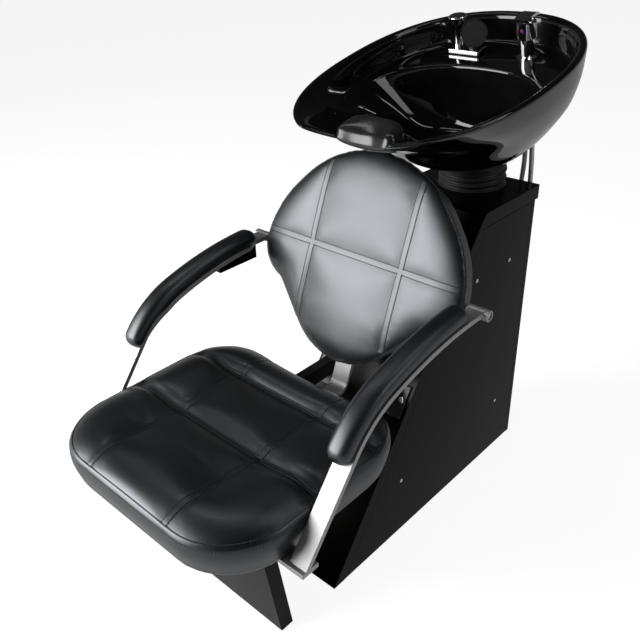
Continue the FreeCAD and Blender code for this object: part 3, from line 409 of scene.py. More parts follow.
@dataclass(frozen=True)
class Metal(Finish):
    """Bare metal with fine brushing or casting texture."""

    dark: Colour
    pale: Colour
    gloss: float
    dull: float
    fine: float = 900.0
    depth: float = 0.00006
    tarnish: Grain = Grain(11.0, 4.0)

    def mix(self, recipe: Recipe) -> None:
        """Mixes a fine grain with broad tarnish."""
        grain, broad = recipe.noise(Grain(self.fine, 3.0)), recipe.noise(self.tarnish)
        recipe.mottle(recipe.sum(broad, grain, 0.3), self.dark, self.pale)
        recipe.rough(recipe.sum(broad, grain, 0.25), self.gloss, self.dull)
        recipe.relief(grain, self.depth, 0.3)
        recipe.set(Metallic=1.0)


@dataclass(frozen=True)
class Glaze(Finish):
    """Fired black glaze, very smooth with a slight ripple."""

    dark: Colour = (0.003, 0.003, 0.0034)
    pale: Colour = (0.007, 0.007, 0.0075)
    gloss: float = 0.03
    dull: float = 0.085
    film: Grain = Grain(16.0, 4.0)
    ripple: Grain = Grain(28.0, 1.0)
    depth: float = 0.0006
    shine: float = 0.50

    def mix(self, recipe: Recipe) -> None:
        """Mixes a faint ripple and water film."""
        film = recipe.noise(self.film)
        recipe.mottle(film, self.dark, self.pale)
        recipe.rough(film, self.gloss, self.dull)
        recipe.relief(recipe.noise(self.ripple), self.depth, 0.05)
        recipe.set(Specular_IOR_Level=self.shine)


@dataclass(frozen=True)
class Rubber(Finish):
    """Moulded rubber or plastic with a dusty bloom."""

    dark: Colour
    pale: Colour
    gloss: float = 0.42
    dull: float = 0.60
    fine: float = 700.0
    dust: Grain = Grain(22.0, 5.0)
    depth: float = 0.00012
    shine: float = 0.5

    def mix(self, recipe: Recipe) -> None:
        """Mixes bloom and a fine moulded texture."""
        bloom, grain = recipe.noise(self.dust), recipe.noise(Grain(self.fine, 2.0))
        both = recipe.sum(bloom, grain, 0.2)
        recipe.mottle(both, self.dark, self.pale)
        recipe.rough(both, self.gloss, self.dull)
        recipe.relief(grain, self.depth, 0.25)
        recipe.set(Specular_IOR_Level=self.shine)


@dataclass(frozen=True)
class Timber(Finish):
    """Raw wood with grain along one axis."""

    dark: Colour = (0.36, 0.22, 0.10)
    pale: Colour = (0.62, 0.44, 0.25)
    gloss: float = 0.55
    dull: float = 0.75
    stretch: Place = (1.0, 0.06, 1.0)
    rings: float = 22.0
    waver: float = 7.0
    fibre: Grain = Grain(420.0, 4.0)
    depth: float = 0.0003

    def mix(self, recipe: Recipe) -> None:
        """Mixes growth rings and fibres."""
        place = recipe.moved(Scale=self.stretch)
        fibre = recipe.noise(self.fibre, place)
        recipe.mottle(recipe.sum(recipe.bands(self.rings, place, self.waver), fibre, 0.4), self.dark, self.pale)
        recipe.rough(fibre, self.gloss, self.dull)
        recipe.relief(fibre, self.depth, 0.4)


@dataclass(frozen=True)
class Braid(Finish):
    """Woven steel sleeve over a hose."""

    dark: Colour = grey(0.10)
    pale: Colour = grey(0.62)
    gloss: float = 0.28
    dull: float = 0.45
    wires: float = 230.0
    slant: float = 0.85
    twist: float = 0.4
    stain: Grain = Grain(60.0, 3.0)
    wear: Grain = Grain(90.0, 3.0)
    depth: float = 0.0004

    def mix(self, recipe: Recipe) -> None:
        """Mixes two crossing sets of wires."""
        first, second = (recipe.bands(self.wires, recipe.moved(Rotation=(0.0, way * self.slant, self.twist)))
                         for way in (1.0, -1.0))
        cross = recipe.sum(first, second, 1.0)
        recipe.mottle(recipe.sum(recipe.noise(self.stain), cross, 0.25), self.dark, self.pale)
        recipe.rough(recipe.noise(self.wear), self.gloss, self.dull)
        recipe.relief(cross, self.depth, 0.6)
        recipe.set(Metallic=0.85)


@dataclass(frozen=True)
class TwoTone(Finish):
    """The warm and cold mark, half one colour and half the other."""

    middle: float = 0.065
    edge: float = 0.0002
    warm: Colour = (0.55, 0.015, 0.02)
    cold: Colour = (0.01, 0.05, 0.42)
    gloss: float = 0.12
    dull: float = 0.2
    wear: Grain = Grain(500.0, 3.0)
    ripple: Grain = Grain(900.0, 3.0)
    depth: float = 0.0001

    def mix(self, recipe: Recipe) -> None:
        """Splits the mark at its middle."""
        apart = recipe.node("SeparateXYZ")
        recipe.join(recipe.moved(Location=(-self.middle, 0, 0)), apart.inputs["Vector"])
        side = recipe.node("MapRange", {"From Min": -self.edge, "From Max": self.edge})
        recipe.join(apart.outputs["X"], side.inputs["Value"])
        recipe.tint(side.outputs["Result"], self.warm, self.cold)
        recipe.rough(recipe.noise(self.wear), self.gloss, self.dull)
        recipe.relief(recipe.noise(self.ripple), self.depth, 0.1)


FINISHES: tuple[Finish, ...] = (
    Laminate("black_laminate"),
    Timber("bare_wood"),
    Vinyl("black_vinyl"),
    Metal("satin_aluminium", grey(0.40), grey(0.48), 0.46, 0.58, fine=1400.0),
    Metal("zinc_steel", grey(0.52, 0.01), grey(0.66), 0.22, 0.4),
    Rubber("black_steel", grey(0.012), grey(0.026), 0.3, 0.42, 1100.0),
    Rubber("black_rubber", grey(0.006, 0.0005), grey(0.014, 0.0005)),
    Rubber("grey_rubber", grey(0.010, 0.001), grey(0.020, 0.001), 0.14, 0.22, 500.0),
    Rubber("grey_plastic", grey(0.24, 0.01), grey(0.33), 0.32, 0.45),
    Braid("braided_steel"),
    Metal("brass", (0.62, 0.42, 0.16), (0.74, 0.53, 0.24), 0.2, 0.34),
    Glaze("black_ceramic"),
    Metal("chrome", grey(0.62, 0.01), grey(0.74, 0.01), 0.05, 0.11, depth=0.00002),
    TwoTone("indicator"),
    Rubber("gloss_black_plastic", grey(0.006), grey(0.012), 0.08, 0.16, 300.0),
    Rubber("charcoal_plastic", grey(0.012, 0.001), grey(0.024, 0.001), 0.34, 0.46),
)


class Palette:
    """The made materials, by slot name, and the dressing of the frame's own pieces."""

    def __init__(self, finishes: Sequence[Finish]) -> None:
        """Makes every finish once.

        Args:
            finishes: the finishes to make.
        """
        self.made = {finish.slot: finish.make() for finish in finishes}

    def __getitem__(self, slot: str) -> bpy.types.Material:
        """Gives a slot's material."""
        return self.made[slot]

    def dress_frame(self) -> None:
        """Gives each piece of the frame the material of its slot."""
        for part in frame["record"]["subparts"]:
            for place in frame["nodes"][part["node"]].material_slots:
                place.material = self[part["material_slot"]]


# Making pieces


class Bench:
    """Where loose meshes become finished pieces of the chair."""

    def __init__(self, palette: Palette) -> None:
        """Keeps the materials at hand.

        Args:
            palette: the made materials.
        """
        self.palette = palette

    def finish(self, name: str, shape: Shape, slot: str, levels: int = 0) -> Piece:
        """Turns a shape into a smooth-shaded piece with its finish.

        Args:
            name: the piece's name.
            shape: the shape, which is used up.
            slot: the finish slot.
            levels: levels of subdivision.

        Returns:
            The new piece.
        """
        for face in shape.faces:
            face.smooth = True
        mesh = bpy.data.meshes.new(name)
        shape.to_mesh(mesh)
        shape.free()
        return self.place(name, mesh, slot, levels)

    def place(self, name: str, mesh: bpy.types.Mesh, slot: str, levels: int = 0) -> Piece:
        """Puts a mesh in the scene as a piece.

        Args:
            name: the piece's name.
            mesh: its mesh.
            slot: the finish slot.
            levels: levels of subdivision.

        Returns:
            The new piece.
        """
        piece = bpy.data.objects.new(name, mesh)
        bpy.context.scene.collection.objects.link(piece)
        mesh.materials.clear()
        mesh.materials.append(self.palette[slot])
        if levels:
            self.divide(piece, levels)
        return piece

    @staticmethod
    def divide(piece: Piece, levels: int) -> None:
        """Subdivides a piece's surface smoothly."""
        layer = piece.modifiers.new("smooth", "SUBSURF")
        layer.levels = layer.render_levels = levels

    @staticmethod
    def copied(node: str) -> Shape:
        """Copies a frame piece into a loose shape with its points merged.

        Args:
            node: the frame piece.

        Returns:
            The shape.
        """
        shape = bmesh.new()
        shape.from_mesh(frame["nodes"][node].data)
        bmesh.ops.remove_doubles(shape, verts=shape.verts, dist=WELD)
        return shape

    def eased(self, node: str, radius: float, slot: str, steps: int = 3) -> Piece:
        """Makes a piece that follows a frame piece with its sharp edges rounded.

        Args:
            node: the frame piece that it stands for.
            radius: the size of the rounding.
            slot: the finish slot.
            steps: how many facets each rounding has.

        Returns:
            The new piece.
        """
        shape = self.copied(node)
        bmesh.ops.dissolve_limit(shape, angle_limit=FLAT_ANGLE, verts=shape.verts, edges=shape.edges)
        sharp = [edge for edge in shape.edges if len(edge.link_faces) == 2
                 and edge.calc_length() > radius / 2.0 and edge.calc_face_angle(0.0) > SHARP_ANGLE]
        bmesh.ops.bevel(shape, geom=sharp, offset=radius, offset_type="OFFSET", segments=steps, profile=0.5,
                        affect="EDGES", clamp_overlap=True, material=-1)
        for edge in shape.edges:
            edge.smooth = edge.calc_face_angle(0.0) < SHARP_ANGLE
        piece = self.finish(node + "_eased", shape, slot)
        layer = piece.modifiers.new("flat_faces", "WEIGHTED_NORMAL")
        layer.keep_sharp = True
        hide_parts(node)
        return piece

    def moulded(self, name: str, node: str, slot: str, voxel: float, passes: int) -> Piece:
        """Makes a soft moulded piece over a frame piece: one even skin with rounded edges.

        Args:
            name: the piece's name.
            node: the frame piece.
            slot: the finish slot.
            voxel: the size of the even grid.
            passes: how often it is evened out.

        Returns:
            The new piece.
        """
        rough = self.finish(name + "_rough", self.copied(node), slot)
        layer = rough.modifiers.new("even", "REMESH")
        layer.mode = "VOXEL"
        layer.voxel_size = voxel
        skin = bmesh.new()
        skin.from_mesh(settled(rough))
        bpy.data.objects.remove(rough)
        soften(skin, skin.verts, passes)
        return self.finish(name, skin, slot)


@dataclass(frozen=True)
class Swell:
    """How padding fills a sewn cover."""

    pressure: float
    cap: float
    frames: int = 20
    ease: int = 0
    loose_below: float = 0.5

    def fill(self, piece: Piece, held: Callable[[Vector], float]) -> None:
        """Lets the cover swell like cloth under pressure and keeps the result.

        Args:
            piece: the cover.
            held: how firmly a point is held, from 0 to 1.
        """
        before = [point.co.copy() for point in piece.data.vertices]
        grip = piece.vertex_groups.new(name="held")
        for point in piece.data.vertices:
            grip.add([point.index], held(point.co), "REPLACE")
        layer = piece.modifiers.new("swell", "CLOTH")
        layer.settings.use_pressure = True
        layer.settings.uniform_pressure_force = self.pressure
        layer.settings.vertex_group_mass = "held"
        layer.settings.effector_weights.gravity = 0.0
        for count in range(1, self.frames + 1):
            bpy.context.scene.frame_set(count)
        swollen = settled(piece)
        piece.modifiers.remove(layer)
        bpy.context.scene.frame_set(1)
        for point, start in zip(swollen.vertices, before):
            move = point.co - start
            if move.length > self.cap:
                point.co = start + move.normalized() * self.cap
        piece.vertex_groups.clear()
        skin = bmesh.new()
        skin.from_mesh(swollen)
        soften(skin, [point for point in skin.verts if held(point.co) < self.loose_below], self.ease)
        skin.to_mesh(swollen)
        skin.free()
        piece.data = swollen


@dataclass
class Seam:
    """A double-sewn strip on a cover: a low welt with a row of stitches along each edge."""

    width: float = 0.0165
    rise: float = 0.0010
    sink: float = 0.0014
    step: float = 0.005
    columns: int = 12
    squareness: int = 6
    weld: float = 0.0004
    stitch: float = 0.0058
    thread: float = 0.00065
    row: float = 0.39
    bead_share: float = 0.36
    bead_level: float = 0.8
    batch: int = 12

    def lay(self, bench: Bench, name: str, spot: Callable[[float, float], Spot],
            length: float) -> tuple[Piece, Piece]:
        """Lays the strip and its stitches on a surface.

        Args:
            bench: where pieces are made.
            name: the strip's name.
            spot: gives the point and normal for a share along the seam and an offset across it.
            length: the seam's length.

        Returns:
            The strip and its stitches.
        """
        strip = bmesh.new()
        steps = max(8, round(length / self.step))
        bmesh.ops.create_grid(strip, x_segments=steps, y_segments=self.columns, size=0.5)
        for point in strip.verts:
            share, across = point.co.x + 0.5, point.co.y
            place, normal = spot(share, across * self.width)
            crown = 1.0 - (2.0 * abs(across)) ** self.squareness
            point.co = place + normal * (-self.sink + (self.rise + self.sink) * crown)
        bmesh.ops.remove_doubles(strip, verts=strip.verts, dist=self.weld)
        return (bench.finish(name, strip, "black_vinyl"),
                bench.finish(name + "_stitches", self.sewn(spot, length), "charcoal_plastic"))

    def sewn(self, spot: Callable[[float, float], Spot], length: float) -> Shape:
        """Sews both rows of stitches.

        Args:
            spot: gives the point and normal for a share along the seam and an offset across it.
            length: the seam's length.

        Returns:
            The stitches.
        """
        rows, batch = bmesh.new(), bmesh.new()
        carrier = bpy.data.meshes.new("stitch_batch")
        count = round(length / self.stitch)
        for step in range(count):
            share = (step + 0.5) / count
            for side in (-self.row, self.row):
                place, normal = spot(share, side * self.width)
                ahead = spot(min(1.0, share + 0.5 / count), side * self.width)[0] - place
                if ahead.length < 1e-6:
                    continue
                ahead.normalize()
                sidewise = normal.cross(ahead).normalized()
                turn = Matrix((ahead * self.stitch * self.bead_share, sidewise * self.thread,
                               normal * self.thread)).transposed()
                bead = Matrix.Translation(place + normal * (self.rise * self.bead_level)) @ turn.to_4x4()
                bmesh.ops.create_uvsphere(batch, u_segments=6, v_segments=4, radius=1.0, matrix=bead)
            if step % self.batch == self.batch - 1 or step == count - 1:
                batch.to_mesh(carrier)
                rows.from_mesh(carrier)
                batch.clear()
        batch.free()
        bpy.data.meshes.remove(carrier)
        return rows


@dataclass
class SeatCushion:
    """The seat: a boxed cushion with a grid of sewn panels and a piped edge."""

    bench: Bench
    voxel: float = 0.0055
    even: int = 3
    swell: Swell = Swell(4.0, 0.018, ease=3)
    front: float = -0.765
    rear: float = -0.268
    half_width: float = 0.272
    corner: float = 0.137
    piping: float = 0.468
    over: float = 0.62
    side_seam: float = 0.112
    front_seam: float = -0.543
    rear_seam: float = -0.384
    crown: float = 0.034
    crown_reach: float = 0.040
    crown_edge: float = 0.004
    crown_fade: float = 0.008
    dish: float = 0.016
    dish_from: float = 0.045
    dish_over: float = 0.10
    cross_valley: float = 0.012
    cross_reach: float = 0.016
    long_valley: float = 0.0018
    long_reach: float = 0.011
    valley_fade: float = 0.03
    slump: float = 0.034
    slump_long: float = 0.100
    slump_from: float = 0.405
    slump_half: float = 0.215
    slump_sides: float = 0.65
    slump_ahead: float = 0.012
    slump_ahead_from: float = 0.35
    grip_above: float = 0.004
    grip_fade: float = 0.012
    cross_grip: float = 0.006
    long_grip: float = 0.008
    long_hold: float = 0.9
    side_seam_ends: tuple[float, float] = (0.0035, 0.006)
    side_seam_long: float = 0.50
    cross_seam_end: float = 0.012
    cross_seam_long: float = 0.52
    narrow: float = 0.012
    piping_up: float = 0.001
    piping_rise: float = 0.0014
    piping_long: float = 1.9

    def near(self, place: Vector) -> tuple[float, float]:
        """Distances from a point to the nearest seam along and across."""
        along = abs(abs(place.x) - self.side_seam)
        across = min(abs(place.y - self.front_seam), abs(place.y - self.rear_seam))
        return along, across

    def inside(self, place: Vector) -> float:
        """How far a point of the plan lies inside the seat's rounded outline."""
        x = abs(place.x) - self.half_width + self.corner
        y = abs(place.y - (self.front + self.rear) / 2) - (self.rear - self.front) / 2 + self.corner
        return self.corner - math.hypot(max(x, 0.0), max(y, 0.0)) - min(max(x, y), 0.0)

    def top(self, place: Vector) -> float:
        """Height of the sewn cover over a point of the plan, before it fills out."""
        deep = max(0.0, self.inside(place))
        rise = self.crown * (1.0 - math.exp(-deep / self.crown_reach))
        dish = self.dish * smooth_step(clamp((deep - self.dish_from) / self.dish_over))
        along, across = self.near(place)
        sink = self.cross_valley * hump(across, self.cross_reach) + self.long_valley * hump(along, self.long_reach)
        return self.piping + rise - dish - sink * min(1.0, deep / self.valley_fade)

    def worn(self, place: Vector) -> float:
        """How much a place lies in the worn rear middle of the seat, from 0 to 1."""
        along = clamp(1.0 - (self.rear - place.y) / self.slump_long) ** 2
        return along * (1.0 - self.slump_sides * min(1.0, (place.x / self.slump_half) ** 2))

    def held(self, place: Vector) -> float:
        """How firmly the cover is held at a point."""
        if place.z < self.piping:
            return clamp((self.piping + self.grip_above - place.z) / self.grip_fade)
        along, across = self.near(place)
        return 1.0 if across < self.cross_grip else self.long_hold if along < self.long_grip else 0.0

    def build(self) -> Piece:
        """Makes the padded cover.

        Returns:
            The cushion.
        """
        cover = self.bench.moulded("seat_cover", "seat_cushion", "black_vinyl", self.voxel, self.even)
        for point in cover.data.vertices:
            place = point.co
            if place.z > self.piping and self.inside(place) > self.crown_edge:
                place.z += (self.top(place) - place.z) * min(1.0, (place.z - self.piping) / self.crown_fade)
            high = (place.z - self.slump_from) / (self.piping - self.slump_from)
            place.z -= self.slump * self.worn(place) * clamp(high)
            place.y -= self.slump_ahead * max(0.0, self.worn(place) - self.slump_ahead_from)
        self.swell.fill(cover, self.held)
        self.bench.divide(cover, 1)
        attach(cover, Body.STAND)
        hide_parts("seat_cushion")
        return cover

    def sew(self, cover: Piece) -> list[Piece]:
        """Lays the seams and the piped edge on the cover.

        Args:
            cover: the padded cover.

        Returns:
            The strips and stitches.
        """
        surface = covered(cover)
        middle = Vector((0.0, (self.front + self.rear) / 2, 0.0))

        def above(x: float, y: float) -> Spot:
            """Finds the cover under a place of the plan."""
            place, normal = surface.ray_cast(Vector((x, y, self.over)), Vector((0, 0, -1)))[:2]
            return (place, normal) if place else (Vector((x, y, self.piping)), Vector((0, 0, 1)))

        def round_edge(share: float, offset: float) -> Spot:
            """Finds the cover's side at a share of the way round, lower where the seat is worn."""
            away, level = level_way(share), self.piping + self.piping_up + offset
            start = middle + away + Vector((0, 0, level))
            for _ in range(2):
                place, normal = surface.ray_cast(start, -away)[:2]
                start.z = level - self.slump * self.worn(place)
            return place, normal

        made: list[Piece] = []
        low, high = self.front + self.side_seam_ends[0], self.rear - self.side_seam_ends[1]
        for side, name in SIDES:
            made += Seam().lay(self.bench, "seat_seam_" + name,
                               lambda share, offset: above(side * self.side_seam + offset,
                                                           low + (high - low) * share), self.side_seam_long)
        reach = self.half_width - self.cross_seam_end
        for y, name in ((self.front_seam, "front"), (self.rear_seam, "rear")):
            made += Seam(self.narrow).lay(self.bench, "seat_seam_" + name,
                                          lambda share, offset: above(reach * (2.0 * share - 1.0), y - offset),
                                          self.cross_seam_long)
        made += Seam(self.narrow, self.piping_rise).lay(self.bench, "seat_piping", round_edge, self.piping_long)
        for piece in made:
            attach(piece, Body.STAND)
        return made


@dataclass
class BackCushion:
    """The back: a broad-shouldered pad with two upright seams, one cross seam and a welted edge."""

    bench: Bench
    voxel: float = 0.0055
    even: int = 4
    swell: Swell = Swell(3.0, 0.008, ease=8)
    side_seam: float = 0.121
    cross_seam: float = 0.010
    edge: float = 0.019
    base: float = 0.024
    over: float = 0.2
    flatten_share: float = 0.80
    groove: float = 0.012
    valley: float = 0.0018
    valley_reach: float = 0.010
    valley_fade: float = 0.006
    grip_above: float = 0.006
    grip_fade: float = 0.012
    seam_grip: float = 0.006
    probe: float = 0.002
    probes: int = 140
    seam_end: float = 0.008
    welt: float = 0.007
    welt_rise: float = 0.0022
    welt_long: float = 1.5

    def held(self, place: Vector) -> float:
        """How firmly the cover is held at a point."""
        local = BACK.inverted() @ place
        if local.z < self.base + self.grip_above:
            return clamp((self.base + self.grip_above - local.z) / self.grip_fade)
        near = min(abs(abs(local.x) - self.side_seam), abs(local.y - self.cross_seam))
        return 1.0 if near < self.seam_grip else 0.0

    def front(self, surface: BVHTree, x: float, v: float) -> Spot | None:
        """Finds the cover's face at a place of its plan.

        Args:
            surface: the cover's surface.
            x: the place across.
            v: the place up the back.

        Returns:
            The point and normal, or nothing off the face.
        """
        place, normal = surface.ray_cast(BACK @ Vector((x, v, self.over)), -BACK_OUT)[:2]
        return (place, normal) if place else None

    def build(self) -> Piece:
        """Makes the padded cover, with the solid's sewn channels filled to shallow valleys.

        Returns:
            The cushion.
        """
        cover = self.bench.moulded("back_cover", "back_cushion", "black_vinyl", self.voxel, self.even)
        surface, back = covered(cover), BACK.inverted()

        def depth(x: float, v: float, other: float) -> float:
            """Reads the face's height at a place of its plan, or keeps another value off the face."""
            spot = self.front(surface, x, v)
            return (back @ spot[0]).z if spot else other

        for point in cover.data.vertices:
            local = back @ point.co
            if local.z < self.base:
                continue
            along = abs(local.x) - self.side_seam
            across = local.y - self.cross_seam
            level = local.z
            if min(abs(along), abs(across)) < self.groove:
                side = math.copysign(1.0, local.x)
                xs = [side * (self.side_seam + way * self.groove) for way in (-1, 1)]
                vs = [self.cross_seam + way * self.groove for way in (-1, 1)]
                spots = [(x, v) for x in (xs if abs(along) < self.groove else [local.x])
                         for v in (vs if abs(across) < self.groove else [local.y])]
                level = sum(depth(x, v, local.z) for x, v in spots) / len(spots)
            level = self.base + (level - self.base) * self.flatten_share
            sink = min(1.0, hump(along, self.valley_reach) + hump(across, self.valley_reach))
            local.z = level - self.valley * sink * clamp((level - self.base) / self.valley_fade)
            point.co = BACK @ local
        self.swell.fill(cover, self.held)
        self.bench.divide(cover, 1)
        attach(cover, Body.STAND)
        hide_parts("back_cushion")
        return cover

    def sew(self, cover: Piece) -> list[Piece]:
        """Lays the seams and the welted edge on the cover.

        Args:
            cover: the padded cover.

        Returns:
            The strips and stitches.
        """
        surface = covered(cover)

        def span(way: Way, at: float) -> tuple[float, float]:
            """Finds how far a seam reaches over the face."""
            steps = [step * self.probe for step in range(-self.probes, self.probes + 1)]
            inside = [s for s in steps if self.front(surface, *((at, s) if way is Way.ALONG else (s, at)))]
            return inside[0] + self.seam_end, inside[-1] - self.seam_end

        def round_edge(share: float, offset: float) -> Spot:
            """Finds the cover's side at a share of the way round."""
            away = level_way(share)
            start = BACK @ (away + Vector((0, 0, self.edge + offset)))
            return surface.ray_cast(start, -(BACK.to_3x3() @ away))[:2]

        made: list[Piece] = []
        for side, name in SIDES:
            low, high = span(Way.ALONG, side * self.side_seam)
            made += Seam().lay(self.bench, "back_seam_" + name,
                               lambda share, offset: self.front(surface, side * self.side_seam + offset,
                                                                low + (high - low) * share), high - low)
        low, high = span(Way.ACROSS, self.cross_seam)
        made += Seam().lay(self.bench, "back_seam_cross",
                           lambda share, offset: self.front(surface, low + (high - low) * share,
                                                            self.cross_seam - offset), high - low)
        made += Seam(self.welt, self.welt_rise).lay(self.bench, "back_welt", round_edge, self.welt_long)
        for piece in made:
            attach(piece, Body.STAND)
        return made


@dataclass
class ArmPads:
    """The two moulded pads on the arms, swept along the arms' two bends with rounded ends."""

    bench: Bench
    swell: Swell = Swell(2.0, 0.003, 10)
    hold: float = 0.6
    middle: float = 0.287
    half_width: float = 0.0240
    thick: float = 0.030
    foot_share: float = 0.38
    rear: float = -0.153
    under: float = 0.661
    arm_thick: float = 0.0103
    radii: tuple[float, float] = (0.810, 0.200)
    turns: tuple[float, float] = (math.radians(17.7), math.radians(33.8))
    rear_gap: float = 0.012
    front_past: float = 0.026
    tip: float = 0.024
    tip_least: float = 0.06
    tip_power: float = 0.7
    side_power: float = 0.75
    top_power: float = 0.85
    foot_power: float = 0.5
    steps: int = 56
    points: int = 28

    def spine(self, along: float) -> Spot:
        """Follows the arm's top side.

        Args:
            along: the way from the arm's rear end along its underside.

        Returns:
            The place and the way out of the arm there.
        """
        first, second = self.radii
        bends = first * self.turns[0], second * self.turns[1]
        turn = min(along, bends[0]) / first + min(max(0.0, along - bends[0]), bends[1]) / second
        hub = Vector((0.0, self.rear, self.under - first))
        out = Vector((0.0, -math.sin(turn), math.cos(turn)))
        radius = first
        if along > bends[0]:
            hub += Vector((0.0, -math.sin(self.turns[0]), math.cos(self.turns[0]))) * (first - second)
            radius = second
        ahead = Vector((0.0, -math.cos(turn), -math.sin(turn))) * max(0.0, along - sum(bends))
        return hub + out * (radius + self.arm_thick) + ahead, out

    def shaped(self, side: float) -> Shape:
        """Sweeps one pad along its arm.

        Args:
            side: 1 for the right arm, -1 for the left.

        Returns:
            The pad's closed skin.
        """
        end = sum(radius * turn for radius, turn in zip(self.radii, self.turns)) + self.front_past
        shape = bmesh.new()
        loops = []
        for step in range(self.steps + 1):
            share = 0.5 - 0.5 * math.cos(math.pi * step / self.steps)
            along = self.rear_gap + (end - self.rear_gap) * share
            near = min(along - self.rear_gap, end - along) / self.tip
            full = max(self.tip_least, math.sqrt(1.0 - max(0.0, 1.0 - near) ** 2))
            place, out = self.spine(along)
            ring = bmesh.ops.create_circle(shape, cap_ends=step in (0, self.steps), segments=self.points,
                                           radius=1.0)["verts"]
            for point in ring:
                c, s = point.co.x, point.co.y
                across = math.copysign(abs(c) ** self.side_power, c) * self.half_width * full
                level = self.foot_share + ((1.0 - self.foot_share) * s ** self.top_power if s > 0.0
                                           else -self.foot_share * abs(s) ** self.foot_power)
                point.co = place + Vector((side * (self.middle + across), 0, 0)) \
                    + out * (level * self.thick * full ** self.tip_power)
            loops.append(loop_of(ring))
        bridge(shape, loops)
        return shape

    def build(self) -> list[Piece]:
        """Makes both pads.

        Returns:
            The pads.
        """
        made = []
        for side, name in reversed(SIDES):
            node = "arm_pad_" + name
            pad = self.bench.finish(node + "_cover", self.shaped(side), "black_vinyl")
            self.swell.fill(pad, lambda place: self.hold)
            self.bench.divide(pad, 1)
            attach(pad, Body.STAND)
            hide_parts(node)
            made.append(pad)
        return made


